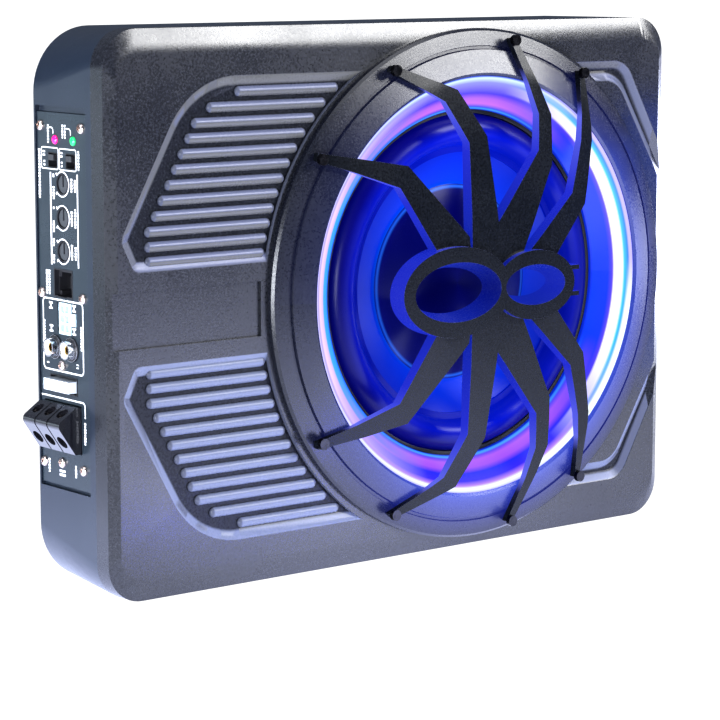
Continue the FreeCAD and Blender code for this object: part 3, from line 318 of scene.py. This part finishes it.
def guard_material():
    """Black guard with the ring's blue light painted on its side walls as glow, and a painted highlight along
    its edges.
    """
    material = moulded("fine_black_guard_painted_light", (0.004, 0.005, 0.007), 0.26, 1.0, 0.03, 0.5,
                       Specular_IOR_Level=0.14)
    make = Nodes(material)
    shader = principled(material)
    radius = polar(make)[0]
    front = make.maths("ABSOLUTE", parts_of(make, make.normal())[1])
    painted_edge_highlight = (0.42, 0.48, 0.80)
    facing = make.ramp(front, ((0.0, WHITE), (0.30, WHITE), (0.55, BLACK)))
    edge = make.ramp(front, ((0.45, BLACK), (0.64, painted_edge_highlight), (0.88, painted_edge_highlight), (0.97, BLACK)))
    blue = make.ramp(make.remap(radius, 0.0, 0.115, 0.0, 1.0),
                     ((0.0, (0.0, 0.004, 0.18)), (0.25, (0.006, 0.02, 0.34)), (0.60, (0.02, 0.03, 0.55)),
                      (0.88, (0.12, 0.14, 0.70)), (0.94, (0.01, 0.01, 0.03)), (1.0, BLACK)))
    walls = make.mix(1.0, facing, blue, "MULTIPLY")
    # Emission paints the ring's blue light on the side walls and a painted highlight on the bevelled edges.
    glows(make, shader, make.mix(1.0, walls, edge, "ADD"), 1.0)
    return material


def cover_material():
    """Sand-textured cover; a painted sheen makes the raised slats and sloping recess walls paler than the
    recess floor.
    """
    material = moulded("sand_textured_charcoal", (0.012, 0.013, 0.017), 0.27, 1.1, 0.06, 0.6)
    make = Nodes(material)
    shader = principled(material)
    x, y, z = parts_of(make, make.place)
    across, _, up = parts_of(make, make.normal())
    away = make.maths("ABSOLUTE", make.maths("SUBTRACT", z, SPEAKER_Z))
    beside = make.maths("MULTIPLY", make.maths("GREATER_THAN", x, RECESS_LEFT),
                        make.maths("LESS_THAN", x, RECESS_RIGHT))
    banks = make.maths("MULTIPLY", make.maths("GREATER_THAN", away, RECESS_NEAR),
                       make.maths("LESS_THAN", away, RECESS_FAR))
    inside = make.maths("MULTIPLY", beside, banks)
    depth = make.remap(y, FACE_Y - 0.2 * MM, FACE_Y + RECESS_REACH, 0.0, 1.0)
    raised = make.ramp(depth, ((0.07, BLACK), (0.15, WHITE), (0.66, WHITE), (0.86, BLACK)))
    floor = make.ramp(depth, ((0.07, grey(0.5)), (0.15, grey(0.16)), (0.92, grey(0.10))))
    # Painted light: above the speaker the slats' up-facing sides are paler and bluer and the down-facing ones
    # warm grey.
    painted_top_light = make.ramp(make.remap(up, -1.0, 1.0, 0.0, 1.0),
                       ((0.46, (0.074, 0.074, 0.072)), (0.62, (0.098, 0.108, 0.165))))
    # Slats below the speaker take a flat painted sheen, and the sloping recess walls a greyer painted sheen.
    bars = make.mix(make.maths("GREATER_THAN", z, SPEAKER_Z), (0.108, 0.122, 0.175), painted_top_light)
    sloped = make.ramp(make.maths("ABSOLUTE", across), ((0.10, BLACK), (0.25, WHITE)))
    pale = make.mix(sloped, bars, (0.074, 0.080, 0.108))
    plain = shader.inputs["Base Color"].links[0].from_socket
    make.link(make.mix(make.maths("MULTIPLY", raised, inside), plain, pale), shader.inputs["Base Color"])
    make.link(make.mix(inside, grey(0.5), floor), shader.inputs[SPECULAR])
    return material


def bezel_material():
    """Textured bezel with the ring's blue light painted on as glow near the ring, most along its lower and
    right sides.
    """
    material = moulded("textured_bezel_painted_glow", (0.008, 0.009, 0.013), 0.26, 1.0, 0.04, 0.5,
                       Specular_IOR_Level=0.36)
    make = Nodes(material)
    shader = principled(material)
    radius, turn = polar(make)
    near = make.ramp(make.remap(radius, 0.100, 0.128, 0.0, 1.0),
                     ((0.0, (0.05, 0.10, 0.70)), (0.25, (0.02, 0.04, 0.42)),
                      (0.65, (0.01, 0.015, 0.16)), (1.0, BLACK)))
    side = make.ramp(turn, ((0.06, grey(0.05)), (0.22, WHITE), (0.42, grey(0.9)), (0.58, grey(0.5)),
                            (0.70, grey(0.08))))
    # The blue near the ring is painted light in the emission, brighter on the lower and right sides.
    glows(make, shader, make.mix(1.0, near, side, "MULTIPLY"), 1.0)
    return material


def lens_material(name, colour, strength):
    material = moulded(name, colour, 0.12, 0.8, 0.004, 0.05, Coat_Weight=0.6, Coat_Roughness=0.05)
    shader = principled(material)
    shader.inputs["Emission Color"].default_value = (*colour, 1)
    shader.inputs["Emission Strength"].default_value = strength
    return material


# Painted glow of the driver's parts, standing in for the ring's blue light and its highlights, from the inner
# edge (0) to the outer edge (1) of each one's span.
SURROUND_PAINTED_GLOW = ((0.0, (0.0, 0.01, 0.42)), (0.35, (0.0, 0.01, 0.55)), (0.7, (0.0, 0.0, 0.18)),
                 (0.93, (0.0, 0.0, 0.10)), (1.0, (0.0, 0.05, 0.6)))
CONE_PAINTED_GLOW = ((0.0, (0.0, 0.0, 0.1)), (0.55, (0.0, 0.0, 0.1)), (0.605, (0.04, 0.36, 1.0)),
             (0.64, (0.0, 0.17, 1.0)), (0.74, (0.0, 0.05, 0.90)), (1.0, (0.0, 0.02, 0.60)))
CAP_PAINTED_GLOW = ((0.0, (0.0, 0.0, 0.07)), (0.86, (0.0, 0.0, 0.09)), (0.925, (0.0, 0.0, 0.12)),
            (0.95, (0.02, 0.16, 0.9)), (0.97, (0.0, 0.01, 0.25)))


def build_materials():
    """One material for each of the record's slots."""
    return {
        "cover_plastic": cover_material(),
        "shell_plastic": moulded("satin_navy_shell", (0.012, 0.018, 0.030), 0.32, 0.4, 0.012, 0.2),
        "bezel_plastic": bezel_material(),
        "guard_plastic": guard_material(),
        "foam": moulded("seal_foam", (0.012, 0.012, 0.014), 0.9, 0.9, 0.2, 0.4),
        "screw_black": metal("black_oxide", (0.03, 0.03, 0.035), 0.2),
        "screw_nickel": metal("copper_tinted_nickel", (0.78, 0.66, 0.60), 0.2),
        "screw_zinc": metal("zinc_plate", (0.60, 0.62, 0.66), 0.3),
        "insert_brass": metal("knurled_brass", (0.76, 0.55, 0.24), 0.28),
        "diffuser": diffuser_material(),
        "led": lens_material("led_package", (0.8, 0.85, 1.0), 1.0),
        "circuit_board": moulded("green_board", (0.01, 0.09, 0.035), 0.4, 0.5, 0.01, 0.2),
        "basket_steel": moulded("painted_basket", (0.02, 0.02, 0.025), 0.45, 0.5, 0.02, 0.2),
        "rubber": painted_glow_material("surround_rubber_painted_glow", (0.002, 0.002, 0.03), 0.30, SURROUND_PAINTED_GLOW, (0.068, 0.085),
                           0.8, 0.01, 1.0, Specular_IOR_Level=0.1),
        "cone_paper": painted_glow_material("cone_painted_blue_glow", (0.001, 0.002, 0.03), 0.34, CONE_PAINTED_GLOW, (0.0, 0.068),
                               1.1, 0.03, 0.9, Specular_IOR_Level=0.12),
        "cap_plastic": painted_glow_material("cap_painted_blue_glow", (0.002, 0.003, 0.04), 0.25, CAP_PAINTED_GLOW, (0.0, 0.050),
                                0.8, 0.01, 0.9, Specular_IOR_Level=0.1),
        "coil": metal("copper_winding", (0.75, 0.40, 0.2), 0.3),
        "cloth": moulded("resin_cloth", (0.45, 0.32, 0.10), 0.8, 0.8, 0.1, 0.3),
        "plated_steel": metal("plated_steel", (0.6, 0.6, 0.63), 0.3),
        "ferrite": moulded("ferrite", (0.05, 0.05, 0.055), 0.6, 0.6, 0.03, 0.3),
        "panel_steel": moulded("panel_powder_coat", (0.014, 0.022, 0.030), 0.32, 0.4, 0.02, 0.3),
        "control_black": moulded("control_nylon", (0.014, 0.014, 0.017), 0.4, 0.5, 0.01, 0.2),
        "knob_black": moulded("knob_nylon", (0.040, 0.043, 0.048), 0.35, 0.5, 0.01, 0.2),
        "slider_dark": moulded("slider_nylon", (0.03, 0.03, 0.034), 0.3, 0.5, 0.01, 0.1),
        "light_green": lens_material("green_lens", (0.01, 0.45, 0.12), 0.6),
        "light_red": lens_material("magenta_lens", (0.60, 0.01, 0.18), 0.7),
        "gold_contact": metal("gold_flash", (0.85, 0.62, 0.25), 0.2),
        "connector_white": moulded("connector_nylon", (0.62, 0.80, 0.88), 0.25, 0.6, 0.01, 0.06),
        "tin": metal("tin_plate", (0.72, 0.72, 0.74), 0.25),
        "nickel": metal("bright_nickel", (0.80, 0.80, 0.82), 0.10, 0.1),
        "insulator_white": moulded("insulator_acetal", (0.80, 0.80, 0.80), 0.3, 0.5, 0.01, 0.05),
        "fuse_clear": moulded("fuse_body", (0.72, 0.78, 0.84), 0.12, 0.6, 0.01, 0.05, Coat_Weight=0.7),
        "terminal_black": moulded("glossy_terminal", (0.010, 0.010, 0.013), 0.2, 0.7, 0.01, 0.2,
                                  Coat_Weight=0.5, Coat_Roughness=0.1),
        "capacitor": moulded("capacitor_sleeve", (0.02, 0.03, 0.09), 0.25, 0.6, 0.005, 0.1),
        "choke": metal("enamelled_copper", (0.68, 0.33, 0.14), 0.3),
        "heat_sink": metal("extruded_aluminium", (0.68, 0.69, 0.71), 0.35),
    }


materials = build_materials()


def paint(piece, material):
    piece.data.materials.clear()
    piece.data.materials.append(material)


for node_name, node_object in nodes.items():
    paint(node_object, materials[slot_of[node_name]])


# ---------------------------------------------------------------- mesh helpers

def piece_from(name, bm, body, slot, smooth_angle=35):
    """Turns bmesh geometry into a piece that rides on a CAD body."""
    mesh = bpy.data.meshes.new(name)
    bmesh.ops.recalc_face_normals(bm, faces=bm.faces)
    bm.to_mesh(mesh)
    bm.free()
    for face in mesh.polygons:
        face.use_smooth = True
    mesh.set_sharp_from_angle(angle=math.radians(smooth_angle))
    piece = bpy.data.objects.new(name, mesh)
    bpy.context.scene.collection.objects.link(piece)
    paint(piece, materials[slot])
    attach(piece, body)
    return piece


def eased_copy(node, width, segments=2, angle=28):
    """Copy of a CAD node with its hard edges rounded; it stands for the node."""
    bm = bmesh.new()
    bm.from_mesh(nodes[node].data)
    bmesh.ops.remove_doubles(bm, verts=bm.verts, dist=0.002 * MM)
    bmesh.ops.dissolve_limit(bm, angle_limit=math.radians(0.6), verts=bm.verts, edges=bm.edges)
    hard = [edge for edge in bm.edges if len(edge.link_faces) == 2
            and edge.calc_face_angle(0) > math.radians(angle)]
    bmesh.ops.bevel(bm, geom=hard, offset=width * MM, offset_type="OFFSET", segments=segments, profile=0.5,
                    affect="EDGES", clamp_overlap=True, miter_outer="ARC")
    piece = piece_from(node + "_eased", bm, body_of[node], slot_of[node], 40)
    weighted = piece.modifiers.new("flat_faces", "WEIGHTED_NORMAL")
    weighted.keep_sharp = True
    weighted.weight = 100
    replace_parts(piece, node)
    return piece


# Nodes whose edges are rounded, and by how many mm.
EASED = (("front_cover", 0.5), ("rear_shell", 0.5), ("guard", 0.5), ("control_plate", 0.25),
         ("terminal_block", 0.4))

for eased_node, eased_width in EASED:
    eased_copy(eased_node, eased_width)


# ---------------------------------------------------------------- panel details

def flat_band(bm, points, width, lift=0.06, closed=False):
    """A thin raised band on the panel along (y, z) points in mm, with mitred corners."""
    spots = [Vector(point) for point in points]
    count = len(spots)
    sides = []
    for index, spot in enumerate(spots):
        before = spots[index - 1] if index or closed else None
        after = spots[(index + 1) % count] if index < count - 1 or closed else None
        run_in = (spot - before).normalized() if before else (after - spot).normalized()
        run_out = (after - spot).normalized() if after else run_in
        middle = (run_in + run_out).normalized()
        normal = Vector((-middle.y, middle.x))
        reach = width / 2 / max(0.4, normal.dot(Vector((-run_in.y, run_in.x))))
        sides.append((spot + normal * reach, spot - normal * reach))
    rings = []
    for left, right in sides:
        corners = ((0.0, left), (lift, left), (lift, right), (0.0, right))
        rings.append([bm.verts.new((PANEL_X - out * MM, spot.x * MM, spot.y * MM)) for out, spot in corners])
    steps = count if closed else count - 1
    for index in range(steps):
        ring, following = rings[index], rings[(index + 1) % count]
        for corner in range(4):
            beyond = (corner + 1) % 4
            bm.faces.new((ring[corner], ring[beyond], following[beyond], following[corner]))
    if not closed:
        bm.faces.new(rings[0])
        bm.faces.new(rings[-1][::-1])


def arc_points(middle, radius, start, end, count=24):
    """Points on a circle, in degrees from +Y towards +Z."""
    turns = [math.radians(start + (end - start) * step / (count - 1)) for step in range(count)]
    return [(middle[0] + radius * math.cos(turn), middle[1] + radius * math.sin(turn)) for turn in turns]


def rounded_box(low, high, radius):
    """Corner points of a box on the panel with rounded corners."""
    points = []
    left, right = low[0] + radius, high[0] - radius
    bottom, top = low[1] + radius, high[1] - radius
    for turn, middle in enumerate(((right, top), (left, top), (left, bottom), (right, bottom))):
        points += arc_points(middle, radius, 90 * turn, 90 * turn + 90, 6)
    return points


def dashes(bm, y, low, high, width, pitch=1.35, gap=0.35):
    """A column of short bars that stands in for a printed word."""
    count = max(1, round((high - low) / pitch))
    step = (high - low) / count
    for index in range(count):
        start = low + index * step
        flat_band(bm, ((y, start), (y, start + step - gap)), width * (0.95 if index % 3 else 0.7))


# Columns of dashes: y, lowest z, highest z, width.
WORD_BARS = ((29.2, 207.6, 216.4, 1.5), (15.1, 210.2, 216.8, 1.3), (17.1, 210.2, 216.8, 1.3),
             (4.2, 196.4, 205.6, 1.6), (36.9, 182.0, 205.0, 1.9), (30.0, 138.2, 149.8, 1.7),
             (32.1, 138.2, 149.8, 1.7), (34.9, 115.6, 126.4, 1.6), (3.9, 114.6, 126.0, 1.6),
             (1.9, 71.6, 82.2, 1.8), (32.6, 54.8, 61.6, 1.7), (10.1, 55.2, 61.2, 1.7),
             (25.2, 192.2, 194.2, 1.9), (25.2, 182.2, 188.4, 1.9), (25.4, 177.7, 179.2, 1.7),
             (25.5, 167.2, 172.8, 1.7), (25.7, 160.7, 164.6, 1.5), (25.8, 152.8, 157.2, 1.6),
             (10.3, 186.2, 192.8, 1.8), (7.4, 186.4, 192.4, 1.8), (10.4, 170.8, 178.0, 1.8),
             (7.5, 170.2, 179.2, 1.8), (10.6, 155.4, 162.8, 1.7), (7.6, 155.6, 162.0, 1.7))


def middle_of(node):
    """A node's middle on the panel, in mm as (y, z)."""
    low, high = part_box(node)
    return ((low.y + high.y) / 2 / MM, (low.z + high.z) / 2 / MM)


def knob_rings(bm):
    """Scale arcs round the knobs, open on the side of their marks, with a tick at each end."""
    for node in ("low_pass_knob", "bass_boost_knob", "input_gain_knob"):
        middle = middle_of(node)
        flat_band(bm, arc_points(middle, 5.65, 44, 316, 40), 0.62)
        for turn in (44, 316):
            flat_band(bm, [arc_points(middle, radius, turn, turn, 2)[0] for radius in (5.4, 7.0)], 0.9)


def panel_print():
    """Generic white print: outline boxes, leader lines, scale arcs and bars, with no lettering."""
    bm = bmesh.new()
    flat_band(bm, rounded_box((20.9, 195.9), (35.1, 205.6), 1.2), 0.55, closed=True)
    flat_band(bm, rounded_box((6.1, 195.9), (20.2, 205.5), 1.2), 0.55, closed=True)
    flat_band(bm, rounded_box((2.5, 103.4), (35.8, 136.3), 2.0), 0.75, closed=True)
    flat_band(bm, [(1.7, 83.8)] + arc_points((3.7, 88.9), 2.0, 180, 90, 6) + [(38.2, 90.9)], 0.7)
    flat_band(bm, ((27.7, 152.1), (27.7, 194.4)), 1.1)
    flat_band(bm, ((5.4, 152.2), (5.4, 194.6)), 0.9)
    flat_band(bm, [(28.4, 214.8)] + arc_points((26.6, 213.2), 1.6, 90, 180, 6) + [(25.0, 211.9)], 0.5)
    flat_band(bm, [(14.0, 214.8)] + arc_points((12.0, 213.2), 1.6, 90, 180, 6) + [(10.4, 211.9)], 0.5)
    knob_rings(bm)
    for y, low, high, width in WORD_BARS:
        dashes(bm, y, low, high, width)
    for y in (33.9, 19.3):
        for z in (202.0, 203.6, 197.6, 199.2):
            flat_band(bm, ((y - 1.9, z), (y + (0.2 if z > 201 else -0.6), z)), 0.9)
    for y, z in ((29.2, 133.2), (29.0, 122.6), (9.8, 133.4), (9.8, 122.8)):
        for shift in (-1.2, 1.2):
            flat_band(bm, ((y - 1.5, z + shift), (y + 1.5, z + shift)), 0.9)
        flat_band(bm, ((y, z - 0.6), (y, z + 0.6)), 0.9)
    for y, z, count in ((32.4, 106.4, 1), (7.4, 106.4, 2)):
        for index in range(count):
            flat_band(bm, ((y - 0.9, z + index * 1.4), (y + 0.9, z + index * 1.4)), 0.6)
    for z in (54.4, 56.2):
        dashes(bm, 21.5, z, z + 1.4, 7.0)
    piece_from("panel_print", bm, "case", "insulator_white", 30)


def lathe_out(bm, middle, profile, segments=40):
    """Turns (out, radius) points in mm about the panel's outward axis at (y, z) in mm."""
    rings = []
    for out, radius in profile:
        x = PANEL_X - out * MM
        if radius == 0:
            rings.append([bm.verts.new((x, middle[0] * MM, middle[1] * MM))])
            continue
        turns = [2 * math.pi * step / segments for step in range(segments)]
        rings.append([bm.verts.new((x, (middle[0] + radius * math.cos(turn)) * MM,
                                    (middle[1] + radius * math.sin(turn)) * MM)) for turn in turns])
    for ring, following in zip(rings, rings[1:]):
        for step in range(segments):
            corners = [ring[step % len(ring)], ring[(step + 1) % len(ring)],
                       following[(step + 1) % len(following)], following[step % len(following)]]
            corners = list(dict.fromkeys(corners))
            bm.faces.new(corners)


def dome(rim, height, foot, steps=6):
    """Profile of a dome: straight up to foot, then round to the axis at height."""
    points = [(-1.0, 0), (-1.0, rim), (foot, rim)]
    for step in range(1, steps + 1):
        turn = math.pi / 2 * step / steps
        points.append((foot + (height - foot) * math.sin(turn), rim * math.cos(turn) if step < steps else 0))
    return points


def light_domes():
    """Domed lenses of the two signal lights."""
    for node, slot in (("power_light", "light_green"), ("protect_light", "light_red")):
        bm = bmesh.new()
        lathe_out(bm, middle_of(node), dome(2.1, 1.25, 0.2))
        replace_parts(piece_from(node + "_dome", bm, "case", slot, 50), node)


def cut_with(piece, cutter):
    """Subtracts one object from another and keeps the result as plain mesh."""
    modifier = piece.modifiers.new("cut", "BOOLEAN")
    modifier.object = cutter
    modifier.operation = "DIFFERENCE"
    modifier.solver = "EXACT"
    modifier.use_self = True
    bpy.context.view_layer.update()
    mesh = bpy.data.meshes.new_from_object(piece.evaluated_get(bpy.context.evaluated_depsgraph_get()))
    mesh.set_sharp_from_angle(angle=math.radians(35))
    piece.modifiers.clear()
    piece.data = mesh
    bpy.data.objects.remove(cutter)


# Where the panel's screws stand, in mm, as (y, z).
PLATE_SCREWS = ((35.3, 215.4), (1.5, 215.4), (36.2, 138.6), (2.0, 138.6),
                (20.0, 106.1), (36.2, 59.5), (21.1, 60.8), (3.2, 59.5))


def screw_heads():
    """Pan-head cross-recess screws of the panel, in place of the plain CAD ones."""
    bm = bmesh.new()
    bars = bmesh.new()
    for index, (y, z) in enumerate(PLATE_SCREWS):
        lathe_out(bm, (y, z), [(-2.5, 0), (-2.5, 1.1), (-0.6, 1.1), (0.0, 1.2), (0.0, 2.45)]
                  + dome(2.45, 1.75, 0.45)[2:])
        turn = math.radians(17 + 41 * index)
        head = Matrix.Translation((PANEL_X - 1.75 * MM, y * MM, z * MM))
        size = Matrix.Diagonal((1.9 * MM, 0.62 * MM, 3.0 * MM, 1))
        for extra in (0.0, math.pi / 2):
            bmesh.ops.create_cube(bars, size=1.0, matrix=head @ Matrix.Rotation(turn + extra, 4, "X") @ size)
    mesh = bpy.data.meshes.new("recesses")
    bars.to_mesh(mesh)
    bars.free()
    cutter = bpy.data.objects.new("recesses", mesh)
    bpy.context.scene.collection.objects.link(cutter)
    heads = piece_from("plate_screw_heads", bm, "case", "screw_nickel", 35)
    cut_with(heads, cutter)
    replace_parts(heads, "plate_screws")


def phono_bases():
    """Black moulded ring at the foot of each phono socket."""
    bm = bmesh.new()
    for node in ("rca_left", "rca_right"):
        lathe_out(bm, middle_of(node), ((0.0, 4.32), (0.0, 5.7), (0.6, 5.7), (0.85, 5.55), (0.95, 5.3),
                                        (0.95, 4.32), (0.0, 4.32)))
    bmesh.ops.remove_doubles(bm, verts=bm.verts, dist=1e-7)
    piece_from("phono_bases", bm, "case", "control_black", 40)


panel_print()
light_domes()
screw_heads()
phono_bases()


# ---------------------------------------------------------------- stage, light and camera

def light_pool(make, middle, along, reach, colour):
    """Oval patch of light on the floor: bright inside its reach, nearly dark two reaches out."""
    offset = make.add("ShaderNodeVectorMath", operation="SUBTRACT")
    make.link(make.place, offset.inputs[0])
    offset.inputs[1].default_value = (*middle, 0)
    squares = []
    for direction, length in ((along, reach[0]), ((-along[1], along[0]), reach[1])):
        run = make.add("ShaderNodeVectorMath", operation="DOT_PRODUCT")
        make.link(offset.outputs[0], run.inputs[0])
        run.inputs[1].default_value = (direction[0] / length, direction[1] / length, 0)
        squares.append(make.maths("MULTIPLY", run.outputs["Value"], run.outputs["Value"]))
    far = make.maths("SQRT", make.maths("ADD", *squares))
    return make.ramp(make.remap(far, 0.0, 4.0, 0.0, 1.0),
                     ((0.0, colour), (0.12, shade(colour, 0.8)), (0.25, shade(colour, 0.28)),
                      (0.50, shade(colour, 0.05)), (1.0, (0.0, 0.0, 0.0))))


def add_floor():
    """Round pale floor: white to the camera, with two bright pools that only light and reflections see."""
    bm = bmesh.new()
    bmesh.ops.create_circle(bm, cap_ends=True, radius=0.9, segments=96)
    mesh = bpy.data.meshes.new("floor")
    bm.to_mesh(mesh)
    bm.free()
    floor = bpy.data.objects.new("floor", mesh)
    bpy.context.scene.collection.objects.link(floor)
    material = new_material("pale_floor")
    make = Nodes(material)
    tint = make.ramp(make.noise(3.0), ((0.3, (0.66, 0.67, 0.70)), (0.7, (0.70, 0.71, 0.73))))
    shader = make.surface(tint, 0.7)
    front = light_pool(make, (0.12, -0.33), (0.46, -0.89), (0.42, 0.20), (0.95, 1.02, 1.50))
    beside = light_pool(make, (-0.26, 0.08), (1.0, 0.0), (0.14, 0.16), (0.20, 0.23, 0.34))
    pool = make.mix(1.0, front, beside, "ADD")
    seen = make.add("ShaderNodeEmission")
    path = make.add("ShaderNodeLightPath")
    both = make.add("ShaderNodeMixShader")
    output = next(node for node in make.tree.nodes if node.type == "OUTPUT_MATERIAL")
    make.link(path.outputs["Is Camera Ray"], both.inputs["Fac"])
    make.link(shader.outputs[0], both.inputs[1])
    make.link(seen.outputs[0], both.inputs[2])
    make.link(both.outputs[0], output.inputs["Surface"])
    glows(make, shader, pool, 4.0)
    paint(floor, material)


def area_light(name, place, target, size, power, colour=(1, 1, 1)):
    data = bpy.data.lights.new(name, "AREA")
    data.shape = "RECTANGLE"
    data.size, data.size_y = size
    data.energy = power
    data.color = colour
    light = bpy.data.objects.new(name, data)
    light.location = place
    light.rotation_euler = (Vector(target) - Vector(place)).to_track_quat("-Z", "Y").to_euler()
    light.visible_camera = False
    bpy.context.scene.collection.objects.link(light)


def add_world():
    """White behind the object; a dim bluish studio, brighter overhead, for light and reflections."""
    world = bpy.data.worlds.new("studio")
    bpy.context.scene.world = world
    world.use_nodes = True
    tree = world.node_tree
    tree.nodes.clear()
    seen = tree.nodes.new("ShaderNodeBackground")
    seen.inputs["Color"].default_value = (1, 1, 1, 1)
    place = tree.nodes.new("ShaderNodeTexCoord")
    split = tree.nodes.new("ShaderNodeSeparateXYZ")
    ramp = tree.nodes.new("ShaderNodeValToRGB")
    ramp.color_ramp.elements[0].color = (0.03, 0.04, 0.06, 1)
    ramp.color_ramp.elements[1].color = (0.36, 0.40, 0.50, 1)
    fill = tree.nodes.new("ShaderNodeBackground")
    path = tree.nodes.new("ShaderNodeLightPath")
    mix = tree.nodes.new("ShaderNodeMixShader")
    output = tree.nodes.new("ShaderNodeOutputWorld")
    tree.links.new(place.outputs["Generated"], split.inputs[0])
    tree.links.new(split.outputs["Z"], ramp.inputs["Fac"])
    tree.links.new(ramp.outputs["Color"], fill.inputs["Color"])
    tree.links.new(path.outputs["Is Camera Ray"], mix.inputs["Fac"])
    tree.links.new(fill.outputs[0], mix.inputs[1])
    tree.links.new(seen.outputs[0], mix.inputs[2])
    tree.links.new(mix.outputs[0], output.inputs["Surface"])


CAMERA_PLACE = (-0.8333, -1.0293, 0.2954)
CAMERA_TARGET = (-0.0241, -0.020, 0.100)
LENS = 136.5


def add_camera():
    data = bpy.data.cameras.new("camera")
    data.sensor_width = 36
    data.lens = LENS
    camera = bpy.data.objects.new("camera", data)
    camera.location = CAMERA_PLACE
    camera.rotation_euler = (Vector(CAMERA_TARGET) - camera.location).to_track_quat("-Z", "Y").to_euler()
    bpy.context.scene.collection.objects.link(camera)
    bpy.context.scene.camera = camera


# Name, place, what it points at, size, power in watts, colour.
LIGHTS = (
    ("top_softbox", (0.0, -0.3, 1.5), (0, 0, 0.1), (1.2, 0.8), 9.5),
    ("front_right_softbox", (1.26, -1.38, 1.0), (0, 0, 0.13), (0.95, 0.75), 56),
    ("left_strip", (-0.85, 0.04, 0.07), (-0.08, -0.02, 0.13), (0.26, 0.16), 5.0, (0.92, 0.95, 1.0)),
    ("front_left_strip", (-1.05, -0.74, 0.04), (-0.06, -0.02, 0.13), (0.30, 0.70), 26, (0.88, 0.92, 1.0)),
    ("right_strip", (1.1, 0.10, 0.04), (0.0, -0.02, 0.13), (0.7, 0.25), 7.0, (0.72, 0.76, 1.0)),
    ("back_left_strip", (-0.62, 0.72, 0.14), (-0.167, 0.0, 0.14), (0.32, 0.22), 0.36, (0.78, 0.9, 1.0)),
    ("glow_below", (0.02, -0.16, -0.02), (0.04, -0.02, 0.04), (0.20, 0.05), 0.9, (0.06, 0.10, 1.0)),
    ("glow_right", (0.26, -0.10, 0.13), (0.155, -0.02, 0.12), (0.05, 0.16), 0.08, (0.04, 0.14, 1.0)),
    ("left_softbox", (-1.5, 0.1, 1.1), (-0.15, 0, 0.13), (0.5, 0.8), 10, (0.86, 0.9, 1.0)),
)

add_floor()
add_world()
add_camera()
for light_row in LIGHTS:
    area_light(*light_row)

view = bpy.context.scene.view_settings
view.view_transform = "Standard"
view.look = "Medium High Contrast"
